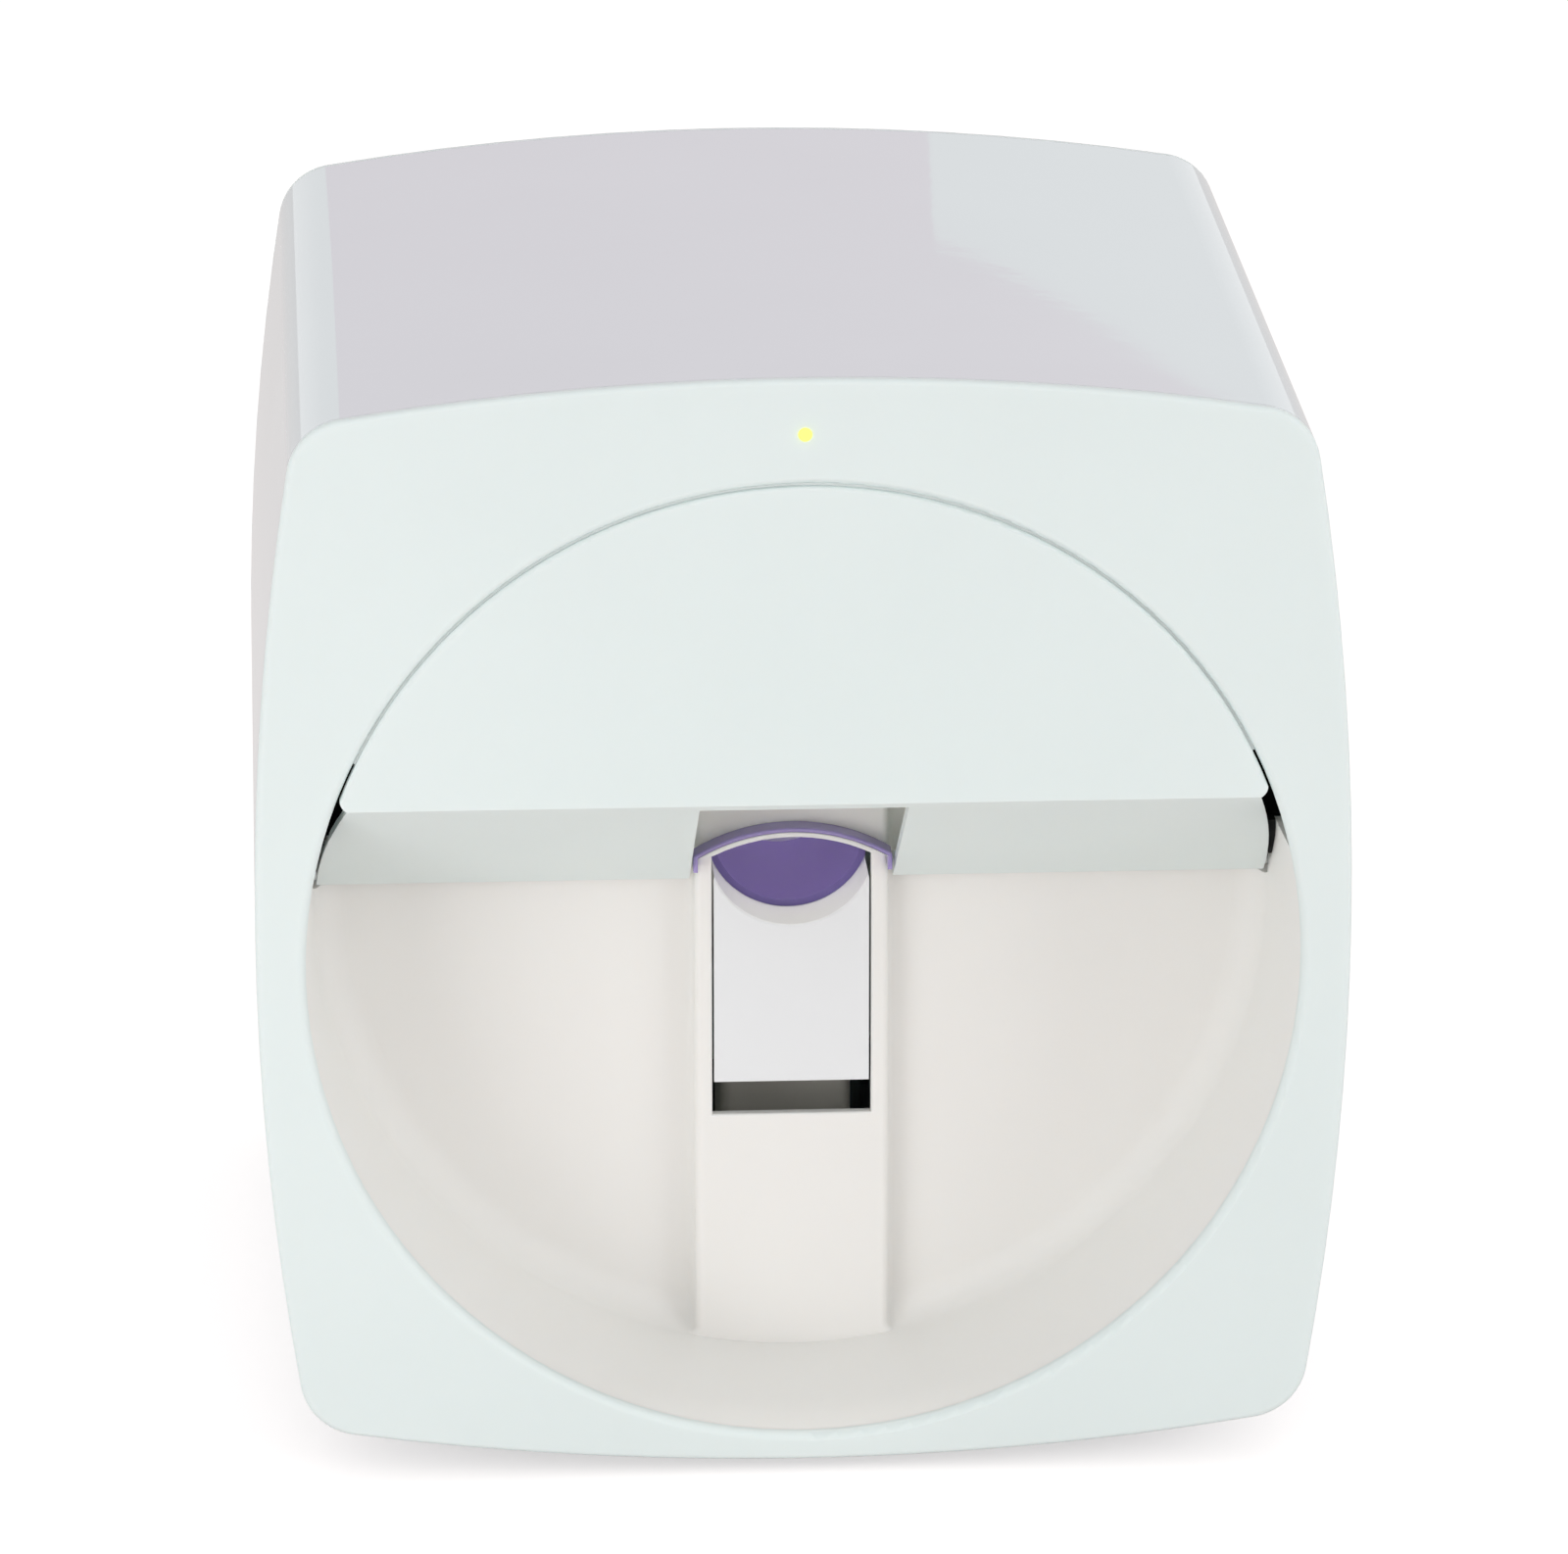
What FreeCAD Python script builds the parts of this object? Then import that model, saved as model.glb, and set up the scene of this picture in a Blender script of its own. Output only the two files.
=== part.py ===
"""A desktop nail art printer: a thumb goes into the slot of the round hand bowl, a spring-lifted
tray holds it under the guard, and an ink cartridge on a small two-axis gantry prints the nail.
+Z is up, the user stands at -Y, and the origin is on the table under the middle of the machine."""
import FreeCAD, Part
import math
import os
import re
import Sketcher

doc = FreeCAD.newDocument("nail_printer")
sheet = doc.addObject("Spreadsheet::Sheet", "Sizes")
Vector = FreeCAD.Vector

# Driving sizes, in millimetres and degrees.
SIZES = {
    # housing
    "body_width": 190, "body_height": 196, "body_depth": 190, "ground_gap": 2,
    "side_bulge": 8, "top_bulge": 7.4, "corner_round": 11,
    "shell_wall": 2.4, "bezel_thick": 2.2, "bezel_edge": 0.9, "lip_depth": 5, "lip_wall": 1.6,
    "rear_thick": 2.4, "rear_edge": 1.2, "seam_fit": 0.15, "post_inset": 17, "post_drop": 24,
    "post_length": 14, "rear_lip": 2.5,
    # round opening and hand bowl
    "side_rim": 8.65, "low_rim": 4.85, "top_rim": 18.45, "mouth_edge": 1.4,
    "bowl_depth": 47.5, "bowl_draft": 1.75, "bowl_wall": 2, "bowl_corner": 6, "bowl_rise": 19.3,
    "ear_gap": 7.15, "ear_angle": 42,
    # finger column in the bowl
    "slot_width": 28.3, "slot_drop": 41.2, "slot_length": 53, "arch_radius": 32,
    "column_side": 3.05, "column_depth": 5.5, "column_rise": 27, "brow_depth": 4.4,
    "column_edge": 1.2, "brow_thick": 0.8, "hood_side": 0.4, "hood_thick": 0.8, "hood_leg": 2.6,
    # front cover
    "cover_fit": 0.45, "cover_thick": 2.4, "cover_rim": 2, "rim_depth": 7, "cover_corner": 1.8,
    "ramp_angle": 31.5, "ramp_thick": 2.2, "ramp_inset": 2.25, "notch_gap": 0.5,
    "pivot_inset": 3.1, "pivot_rise": 4.6, "barrel_radius": 2.2, "pin_radius": 1.5,
    "pin_length": 9, "gusset_inset": 25.35, "gusset_thick": 2, "gusset_rise": 20,
    "magnet_place": 36, "magnet_radius": 2.5, "magnet_thick": 1.5, "catch_drop": 14.35,
    # indicator
    "light_drop": 9.6, "light_radius": 1.15, "light_fit": 0.08,
    # feet, chassis and side frames
    "foot_side": 39, "foot_front_inset": 31, "foot_rear_inset": 25, "foot_radius": 7,
    "foot_depth": 6, "chassis_gap": 2.5, "chassis_rear_gap": 4.6, "chassis_level": 12,
    "chassis_thick": 3, "post_side": 24, "post_end": 13, "post_radius": 4.5,
    "screw_radius": 1.4, "sheet_thick": 1.5, "frame_drop": 18, "frame_gap": 15.5,
    "frame_rear_gap": 8.6, "flange_reach": 21,
    # gantry
    "rod_radius": 3, "rod_rise": 18, "rod_fit": 0.04, "rod_inset": 35, "end_room": 9,
    "block_width": 20, "block_depth": 16, "block_drop": 18, "block_rise": 38, "block_side": 1.2,
    "cross_radius": 2.5, "cross_spread": 20, "bush_wall": 2, "screw_drop": 24, "lead_radius": 3,
    "stepper_size": 20, "stepper_length": 24, "belt_rise": 26, "belt_width": 5,
    "belt_thick": 0.9, "pulley_radius": 5, "pulley_width": 6.4, "idler_pin": 1.5,
    # carriage and cartridge
    "cartridge_width": 40, "cartridge_depth": 50, "cartridge_tall": 45, "cartridge_fit": 0.35,
    "cradle_wall": 2.2, "snout_rise": 2.8, "nozzle_rise": 4.2, "nozzle_setback": 12,
    "latch_width": 22, "latch_thick": 2.2, "latch_pivot_rise": 12,
    # finger tray
    "tray_fit": 0.35, "tray_travel": 5, "tray_depth": 48, "trough_side": 1,
    "trough_drop": 3, "apron_lap": 1, "apron_thick": 2.2, "stem_width": 16,
    "stem_depth": 16, "stem_back": 25, "stem_drop": 4, "guide_wall": 3.4, "guide_rise": 20,
    "pad_wall": 1.2, "pad_setback": 11, "pad_drop": 3.6,
    "coil_radius": 5.4, "wire_radius": 0.55, "coil_pitch": 5.5,
    # camera, power and control
    "camera_inset": 18,
    "board_level": 22, "board_thick": 1.6, "board_side": 12, "board_gap": 8.6,
    "board_start": 13, "board_end": 30, "cell_radius": 9.2, "cell_length": 66, "cell_side": 15.4,
    "cell_gap": 1, "holder_end": 26,
    "inlet_x": 42, "inlet_z": 27, "inlet_bore": 3.2, "inlet_pin": 1.05,
    "button_x": 42, "button_z": 27, "button_radius": 6, "button_fit": 0.25, "button_travel": 1.2,
    "vent_count": 11, "vent_pitch": 6, "vent_width": 2.6, "vent_side": 47, "vent_start": 12,
}

# Places worked out from the driving sizes, as expressions the document keeps live.
PLACES = {
    "front": "-body_depth / 2",
    "rear": "body_depth / 2",
    "mid_level": "ground_gap + body_height / 2",
    "side_chord": "body_height / 2 - top_bulge",
    "top_chord": "body_width / 2 - side_bulge",
    "side_sweep": "(side_chord * side_chord + side_bulge * side_bulge) / (2 * side_bulge)",
    "top_sweep": "(top_chord * top_chord + top_bulge * top_bulge) / (2 * top_bulge)",
    "bezel_back": "front + bezel_thick",
    "rear_inner": "rear - rear_thick",
    "mouth_radius": "min(body_width / 2 - side_rim; (body_height - low_rim - top_rim) / 2)",
    "mouth_level": "ground_gap + low_rim + mouth_radius",
    "ear_reach": "mouth_radius + ear_gap",
    "post_rise": "body_height / 2 - post_drop",
    "bowl_back": "front + bowl_depth",
    "bowl_back_radius": "mouth_radius - bowl_draft",
    "bowl_top": "mouth_level + bowl_rise",
    "slot_bottom": "mouth_level - slot_drop",
    "slot_top": "slot_bottom + slot_length",
    "column_width": "slot_width + 2 * column_side",
    "column_front": "bowl_back - column_depth",
    "column_top": "mouth_level + column_rise",
    "arch_level": "slot_top - arch_radius",
    "brow_radius": "arch_radius + brow_thick",
    "hood_radius": "brow_radius + hood_thick",
    "hood_width": "column_width + 2 * hood_side",
    "notch_width": "hood_width + 2 * notch_gap",
    "hood_front": "column_front - brow_depth",
    "pivot_depth": "bowl_depth - pivot_inset",
    "pivot_y": "front + pivot_depth",
    "pivot_z": "mouth_level + pivot_rise",
    "cover_radius": "mouth_radius - cover_fit",
    "ramp_radius": "mouth_radius - ramp_inset",
    "gusset_place": "mouth_radius - gusset_inset",
    "cover_back": "front + cover_thick",
    "cover_edge": "pivot_z - barrel_radius / cos(ramp_angle) + pivot_depth * tan(ramp_angle)",
    "catch_level": "mouth_level + mouth_radius - catch_drop",
    "light_level": "ground_gap + body_height - light_drop",
    "foot_x": "body_width / 2 - foot_side",
    "foot_front": "body_depth / 2 - foot_front_inset",
    "foot_rear": "body_depth / 2 - foot_rear_inset",
    "chassis_top": "chassis_level + chassis_thick",
    "chassis_front": "-1 * (bowl_back + bowl_wall + chassis_gap)",
    "chassis_rear": "rear_inner - chassis_rear_gap",
    "post_x": "chassis_width / 2 - post_side",
    "post_front": "chassis_front - post_end",
    "post_rear": "chassis_rear - post_end",
    "rod_x": "body_width / 2 - rod_inset",
    "frame_x": "rod_x + block_width / 2 + block_side",
    "frame_outer": "frame_x + sheet_thick",
    "frame_top": "ground_gap + body_height - frame_drop",
    "frame_front": "-1 * (bowl_back + bowl_wall + frame_gap)",
    "frame_rear": "rear_inner - frame_rear_gap",
    "chassis_width": "2 * (frame_outer) + 2.6",
    "board_left": "board_side - chassis_width / 2",
    "board_right": "-1 * (stem_width / 2 + guide_wall + board_gap)",
    "board_front": "board_start - chassis_front",
    "board_rear": "chassis_rear - board_end",
    "cell_outer_x": "chassis_width / 2 - cell_side - cell_radius",
    "holder_front": "chassis_rear - holder_end - cell_length - 4",
    "nozzle_level": "slot_top + nozzle_rise",
    "cradle_level": "nozzle_level + snout_rise",
    "rod_level": "cradle_level + rod_rise",
    "screw_level": "rod_level - screw_drop",
    "belt_level": "rod_level + belt_rise",
    "block_bottom": "rod_level - block_drop",
    "block_top": "rod_level + block_rise",
    "stage_home": "frame_rear - end_room - block_depth / 2",
    "screw_plane": "frame_rear - sheet_thick",
    "stage_front": "stage_home - block_depth / 2",
    "stage_back": "stage_home + block_depth / 2",
    "cross_low": "rod_level - cross_spread / 2",
    "cross_high": "rod_level + cross_spread / 2",
    "bush_radius": "cross_radius + bush_wall",
    "rod_bush_radius": "rod_radius + bush_wall",
    "belt_y": "stage_back + 1.1",
    "cradle_half": "cartridge_width / 2 + cartridge_fit + cradle_wall",
    "cradle_rear": "stage_home - bush_radius - 1.8",
    "cartridge_rear": "cradle_rear - cradle_wall - cartridge_fit",
    "cartridge_front": "cartridge_rear - cartridge_depth",
    "cradle_front": "cartridge_front - cartridge_fit - cradle_wall",
    "cradle_floor": "cradle_level + cradle_wall",
    "cartridge_bottom": "cradle_floor + 0.2",
    "cartridge_top": "cartridge_bottom + cartridge_tall",
    "latch_y": "cradle_front - 2.6",
    "latch_z": "cradle_level + latch_pivot_rise",
    "tray_front": "column_front + 0.4",
    "tray_rear": "tray_front + tray_depth",
    "tray_half": "slot_width / 2 - tray_fit",
    "trough_radius": "tray_half + trough_side",
    "trough_rise": "slot_top - trough_drop",
    "pad_top": "slot_top - pad_drop",
    "stem_bottom": "slot_bottom - stem_drop",
    "guide_top": "stem_bottom + guide_rise",
    "apron_bottom": "slot_bottom + tray_travel + apron_lap",
    "stem_front": "tray_rear - stem_back",
    "stem_rear": "stem_front + stem_depth",
    "pad_front": "tray_front + pad_setback",
    "spring_seat": "chassis_top + 3",
    "nozzle_y": "cartridge_front + nozzle_setback",
    "catch_y": "front + rim_depth + 2.2",
    "pin_inner": "mouth_radius - pin_length",
    "camera_y": "camera_inset - frame_front",
    "vent_length": "body_width - 2 * vent_side",
    "vent_rise": "mid_level + vent_start",
    "switch_front": "rear_inner - button_travel - 2.6",
    "switch_back": "switch_front - 3.6",
}


def worked(text):
    """Spell an expression out in the sheet's aliases."""
    def spell(found):
        word = found.group(0)
        if word in SIZES:
            return f"Sizes.{word}"
        return f"({worked(PLACES[word])})" if word in PLACES else word
    return re.sub(r"[a-z_]+", spell, str(text))


def number(text):
    """The present value of an expression."""
    answer = sheet.evalExpression(worked(text))
    return float(getattr(answer, "Value", answer))


def fill_sheet():
    """Write each driving size in a row of its own, named by its alias."""
    for row, (name, value) in enumerate(SIZES.items(), start=1):
        sheet.set(f"A{row}", name)
        sheet.set(f"B{row}", str(value))
        sheet.setAlias(f"B{row}", name)
    doc.recompute()


def bind(item, **sizes):
    """Tie properties to expressions; a double underscore stands for a dot."""
    for name, text in sizes.items():
        item.setExpression(name.replace("__", "."), worked(text))
    return item


def place(item, x="0", y="0", z="0", turn=None):
    """Tie an object's base point to expressions, after turning it about the row of axes given."""
    if turn:
        item.Placement.Rotation = FreeCAD.Rotation(Vector(*turn[:3]), turn[3])
    return bind(item, Placement__Base__x=x, Placement__Base__y=y, Placement__Base__z=z)


ALONG_X = (0, 1, 0, 90)
ALONG_Y = (1, 0, 0, -90)


# ---- solids from primitives ----

def block(low, high):
    """A box between two corners."""
    made = doc.addObject("Part::Box", "block")
    lengths = [f"({high[i]}) - ({low[i]})" for i in range(3)]
    bind(made, Length=lengths[0], Width=lengths[1], Height=lengths[2])
    return place(made, *low)


def rod(radius, base, length, turn=None):
    """A cylinder from its base point, upright or turned."""
    made = doc.addObject("Part::Cylinder", "rod")
    bind(made, Radius=radius, Height=length)
    return place(made, *base, turn=turn)


def fuse(*pieces):
    """One solid from several."""
    made = doc.addObject("Part::MultiFuse", "joined")
    made.Shapes = list(pieces)
    return made


def cut(base, *tools):
    """A solid less one or more tools."""
    made = doc.addObject("Part::Cut", "cut")
    made.Base = base
    made.Tool = tools[0] if len(tools) == 1 else fuse(*tools)
    return made


def group(*pieces):
    """Separate solids kept together."""
    made = doc.addObject("Part::Compound", "group")
    made.Links = list(pieces)
    return made


# ---- solids from sketches ----

def new_body(name):
    """An empty body with its origin planes."""
    made = doc.addObject("PartDesign::Body", name)
    doc.recompute()
    return made


def sketch(body, plane, level="0", rise="0"):
    """A sketch on an origin plane, moved along +X, +Y or +Z to level; rise lifts its own origin."""
    made = body.newObject("Sketcher::SketchObject", body.Name + "_sketch")
    made.AttachmentSupport = [(next(f for f in body.Origin.OriginFeatures if f.Role == plane), "")]
    made.MapMode = "FlatFace"
    sign = "-" if plane == "XZ_Plane" else ""
    made.setExpression("AttachmentOffset.Base.z", worked(f"{sign}1 * ({level})"))
    made.setExpression("AttachmentOffset.Base.y", worked(f"1 * ({rise})"))
    return made


def tie(made, kind, ends, text):
    """Add one dimension to a sketch and bind it."""
    index = made.addConstraint(Sketcher.Constraint(kind, *ends, number(text)))
    made.setExpression(f"Constraints[{index}]", worked(f"1 * ({text})"))


def tie_point(made, edge, end, across, up):
    """Fix a point of an edge from the sketch's origin."""
    tie(made, "DistanceX", (-1, 1, edge, end), across)
    tie(made, "DistanceY", (-1, 1, edge, end), up)


def circle(made, across, up, radius):
    """A whole circle."""
    centre = Vector(number(across), number(up), 0)
    edge = made.addGeometry(Part.Circle(centre, Vector(0, 0, 1), number(radius)), False)
    tie_point(made, edge, 3, across, up)
    tie(made, "Radius", (edge,), radius)
    return made


def arc_between(start, end, radius):
    """The short arc from start to end and its end order; a positive radius bulges to the right."""
    chord = end - start
    middle = (start + end) * 0.5
    left = Vector(-chord.y, chord.x, 0).normalize()
    offset = math.sqrt(max(radius * radius - chord.Length ** 2 / 4, 0))
    centre = middle + left * (offset if radius > 0 else -offset)
    angles = [math.atan2(p.y - centre.y, p.x - centre.x) for p in (start, end)]
    ends = (1, 2) if radius > 0 else (2, 1)
    if radius < 0:
        angles.reverse()
    full = Part.Circle(centre, Vector(0, 0, 1), abs(radius))
    return Part.ArcOfCircle(full, angles[0], angles[1]), ends


def outline(made, corners, arcs=None):
    """A closed outline through corners; arcs gives the radius of the sides that are round."""
    arcs = arcs or {}
    points = [Vector(number(across), number(up), 0) for across, up in corners]
    edges = []
    for side, start in enumerate(points):
        end = points[(side + 1) % len(points)]
        if side in arcs:
            shape, ends = arc_between(start, end, number(arcs[side]))
        else:
            shape, ends = Part.LineSegment(start, end), (1, 2)
        edges.append((made.addGeometry(shape, False), *ends))
    for side, (edge, first, last) in enumerate(edges):
        following = edges[(side + 1) % len(edges)]
        made.addConstraint(Sketcher.Constraint("Coincident", edge, last, *following[:2]))
        tie_point(made, edge, first, *corners[side])
        if side in arcs:
            tie(made, "Radius", (edge,), f"abs({arcs[side]})")
    return made


def rectangle(made, left, bottom, right, top):
    """A rectangle from its four sides."""
    return outline(made, [(left, bottom), (right, bottom), (right, top), (left, top)])


CORNER_SHIFT = 0.86   # how far the corner of the section moves inwards for each mm of inset


def corner_x(inset):
    """About where the corners of an inset section lie across the housing."""
    return number(f"top_chord - {CORNER_SHIFT} * ({inset})")


def pillow(made, inset="0"):
    """The housing's section: four long arcs on fixed centres, so that an inset stays parallel."""
    half_across = corner_x(inset)
    half_up = number(f"side_chord - {CORNER_SHIFT} * ({inset})")
    turns = ((1, -1), (1, 1), (-1, 1), (-1, -1))
    corners = [Vector(a * half_across, b * half_up, 0) for a, b in turns]
    side_centre = "body_width / 2 - side_sweep"
    top_centre = "body_height / 2 - top_sweep"
    centres = [(side_centre, "0"), ("0", top_centre), (f"-1 * ({side_centre})", "0"),
               ("0", f"-1 * ({top_centre})")]
    for side, (across, up) in enumerate(centres):
        sweep = "side_sweep" if side % 2 == 0 else "top_sweep"
        radius = number(f"{sweep} - ({inset})")
        shape, _ = arc_between(corners[side], corners[(side + 1) % 4], radius)
        edge = made.addGeometry(shape, False)
        tie_point(made, edge, 3, across, up)
        tie(made, "Radius", (edge,), f"{sweep} - ({inset})")
    for side in range(4):
        made.addConstraint(Sketcher.Constraint("Coincident", side, 2, (side + 1) % 4, 1))
    return made


def settled(added):
    """Recompute a new feature and stop if it failed."""
    doc.recompute()
    if {"Invalid", "Error"} & set(added.State) or not added.Shape.isValid():
        raise RuntimeError(f"{added.Name} failed: {added.State}")
    return added


def feature(body, kind, made, length=None):
    """A pad or pocket that runs towards +X, +Y or +Z from its sketch."""
    added = body.newObject(f"PartDesign::{kind}", f"{body.Name}_{kind.lower()}")
    added.Profile = made
    on_front_plane = made.AttachmentSupport[0][0].Role == "XZ_Plane"
    added.Reversed = on_front_plane if kind == "Pad" else not on_front_plane
    bind(added, Length=f"1 * ({length})")
    return settled(added)


def pad(body, made, length):
    """Material from a sketch."""
    return feature(body, "Pad", made, length)


def pocket(body, made, length):
    """A recess from a sketch, which has to take something away."""
    before = body.Shape.Volume
    added = feature(body, "Pocket", made, length)
    if not added.Shape.Volume < before - 1e-6:
        raise ValueError(f"{added.Name} cuts nothing")
    return added


def revolve(body, made, axis):
    """A full turn of a sketch about one of its own axes."""
    added = body.newObject("PartDesign::Revolution", body.Name + "_turned")
    added.Profile = made
    added.ReferenceAxis = (made, [axis])
    added.Angle = 360
    return settled(added)


def soften(body, radius, chosen, kind="Fillet"):
    """Round or bevel the edges of the body's tip that the test picks."""
    base = body.Tip
    names = [f"Edge{n}" for n, edge in enumerate(base.Shape.Edges, start=1) if chosen(edge)]
    if not names:
        raise ValueError(f"{body.Name} has no such edge")
    added = body.newObject(f"PartDesign::{kind}", f"{body.Name}_{kind.lower()}")
    added.Base = (base, names)
    bind(added, **{"Radius" if kind == "Fillet" else "Size": f"1 * ({radius})"})
    return settled(added)


def repeat(body, original, direction, count, pitch):
    """A row of copies of one feature along a sketch axis, away from the first."""
    added = body.newObject("PartDesign::LinearPattern", body.Name + "_row")
    added.Originals = [original]
    added.Direction = (original.Profile[0], [direction])
    added.Mode = "Spacing"
    bind(added, Offset=f"1 * ({pitch})", Occurrences=f"1 * ({count})")
    body.Tip = added
    return settled(added)


def lies(edge, axis, value, within=0.02):
    """Whether an edge lies in the plane where axis has a value."""
    box = edge.BoundBox
    low, high = getattr(box, axis + "Min"), getattr(box, axis + "Max")
    return abs(low - value) < within and abs(high - value) < within


def runs(edge, axis, least=0.5):
    """Whether an edge runs straight along an axis."""
    box = edge.BoundBox
    lengths = {name: getattr(box, name + "Length") for name in "XYZ"}
    along = lengths.pop(axis)
    return along > least and max(lengths.values()) < 0.02


# ---- housing ----

def four(x, front, rear):
    """The four places of a foot or post, as pairs of expressions."""
    return [(f"{side} * {x}", y) for side in (-1, 1) for y in (f"-1 * {front}", rear)]


def span(side, near, far):
    """The left and right ends of a stretch on one side of the middle."""
    return (near, far) if side > 0 else (f"-1 * ({far})", f"-1 * ({near})")


CORNER_SCREWS = [(f"{side} * (body_width / 2 - post_inset)", f"mid_level + {rise} * post_rise")
                 for side in (-1, 1) for rise in (-1, 1)]
BOWL_SCREWS = [(f"{side} * ear_reach * cos(ear_angle)", "mouth_level - ear_reach * sin(ear_angle)")
               for side in (-1, 1)]


def outer_shell():
    """Glossy wrap-round moulding, open at both ends, with foot sockets and chassis posts."""
    body = new_body("outer_shell")
    pad(body, pillow(sketch(body, "XZ_Plane", "bezel_back", "mid_level")),
        "rear_inner - (bezel_back)")
    soften(body, "corner_round", lambda edge: runs(edge, "Y", 50))
    pocket(body, pillow(sketch(body, "XZ_Plane", "bezel_back", "mid_level"), "shell_wall"),
           "rear_inner - (bezel_back)")
    corner = corner_x("shell_wall")
    soften(body, "corner_round - shell_wall",
           lambda edge: runs(edge, "Y", 50) and abs(abs(edge.BoundBox.XMin) - corner) < 0.4)
    posts = sketch(body, "XY_Plane", "ground_gap + 4")
    for x, y in four("post_x", "post_front", "post_rear"):
        circle(posts, x, y, "post_radius")
    pad(body, posts, "chassis_level - (ground_gap + 4)")
    seats = sketch(body, "XY_Plane", "foot_depth + 0.35")
    for x, y in four("foot_x", "foot_front", "foot_rear"):
        circle(seats, x, y, "foot_radius + shell_wall")
    pad(body, seats, "1.6")
    sockets = sketch(body, "XY_Plane", "0")
    for x, y in four("foot_x", "foot_front", "foot_rear"):
        circle(sockets, x, y, "foot_radius + seam_fit")
    pocket(body, sockets, "foot_depth")
    bosses = sketch(body, "XZ_Plane", "rear_inner - post_length")
    for x, z in CORNER_SCREWS:
        circle(bosses, x, z, "screw_radius + 2.8")
    pad(body, bosses, "post_length")
    fins = sketch(body, "XZ_Plane", "rear_inner - post_length")
    sagged = "side_bulge * (post_rise / side_chord) * (post_rise / side_chord)"
    wall = f"body_width / 2 - {sagged} - shell_wall / 2"
    for x, z in CORNER_SCREWS:
        near, far = (x, wall) if number(x) > 0 else (f"-1 * ({wall})", x)
        rectangle(fins, near, f"{z} - 0.9", far, f"{z} + 0.9")
    pad(body, fins, "post_length - 2")
    bores = sketch(body, "XZ_Plane", "rear_inner - post_length + 4")
    for x, z in CORNER_SCREWS:
        circle(bores, x, z, "screw_radius")
    pocket(body, bores, "post_length - 4")
    holes = sketch(body, "XY_Plane", "chassis_level - 3")
    for x, y in four("post_x", "post_front", "post_rear"):
        circle(holes, x, y, "screw_radius")
    pocket(body, holes, "3")
    return body


CATCH_LEG = "mouth_radius + 0.6"


def front_bezel():
    """Flat satin front frame round the bowl, with its lip, screw posts and magnet brackets."""
    body = new_body("front_bezel")
    pad(body, pillow(sketch(body, "XZ_Plane", "front", "mid_level")), "bezel_thick")
    soften(body, "corner_round", lambda edge: runs(edge, "Y", 1))
    pocket(body, circle(sketch(body, "XZ_Plane", "front"), "0", "mouth_level", "mouth_radius"),
           "bezel_thick")
    soften(body, "bezel_edge", lambda edge: lies(edge, "Y", number("front"))
           and not circular(edge, number("mouth_radius")))
    soften(body, "mouth_edge", lambda edge: lies(edge, "Y", number("front"))
           and circular(edge, number("mouth_radius")))
    lip = sketch(body, "XZ_Plane", "bezel_back", "mid_level")
    pillow(lip, "shell_wall + seam_fit")
    pad(body, lip, "lip_depth")
    corner = corner_x("shell_wall + seam_fit")
    soften(body, "corner_round - shell_wall",
           lambda edge: runs(edge, "Y", 3) and abs(abs(edge.BoundBox.XMin) - corner) < 0.4)
    hollow = sketch(body, "XZ_Plane", "bezel_back", "mid_level")
    pillow(hollow, "shell_wall + seam_fit + lip_wall")
    pocket(body, hollow, "lip_depth")
    room = circle(sketch(body, "XZ_Plane", "bezel_back"), "0", "mouth_level",
                  "mouth_radius + bowl_wall + seam_fit")
    pocket(body, room, "lip_depth")
    posts = sketch(body, "XZ_Plane", "bezel_back - 0.5")
    for x, z in BOWL_SCREWS:
        circle(posts, x, z, "screw_radius + 1.9")
    for side in (-1, 1):
        circle(posts, f"{side} * 6.5", "light_level", "1.4")
    pad(body, posts, "lip_depth + 0.5")
    shorten = sketch(body, "XZ_Plane", "bezel_back + 2.6")
    rectangle(shorten, "-9", "light_level - 3", "9", "light_level + 3")
    pocket(body, shorten, "lip_depth")
    for side in (-1, 1):
        left, right = sorted((f"{side} * magnet_place - 4.5", f"{side} * magnet_place + 4.5"),
                             key=number)
        leg = sketch(body, "XZ_Plane", "bezel_back - 0.5")
        foot = "mouth_level + sqrt(({0}) * ({0}) - (magnet_place - 4.5) * (magnet_place - 4.5))"
        foot = foot.format(CATCH_LEG)
        rectangle(leg, left, foot, right, f"{foot} + 2.2")
        pad(body, leg, "catch_y + 2.4 - (bezel_back - 0.5)")
        arm = sketch(body, "XZ_Plane", "catch_y")
        rectangle(arm, left, "catch_level - 4", right, f"{foot} + 2.2")
        pad(body, arm, "2.4")
    seats = sketch(body, "XZ_Plane", "catch_y")
    for side in (-1, 1):
        circle(seats, f"{side} * magnet_place", "catch_level", "magnet_radius")
    pocket(body, seats, "magnet_thick")
    light = sketch(body, "XZ_Plane", "front")
    circle(light, "0", "light_level", "light_radius + light_fit")
    pocket(body, light, "bezel_thick")
    bores = sketch(body, "XZ_Plane", "bezel_back")
    for x, z in BOWL_SCREWS:
        circle(bores, x, z, "screw_radius")
    pocket(body, bores, "lip_depth")
    return body


def circular(edge, radius):
    """Whether an edge is part of a circle of that radius."""
    return isinstance(edge.Curve, Part.Circle) and abs(edge.Curve.Radius - radius) < 0.05


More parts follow.
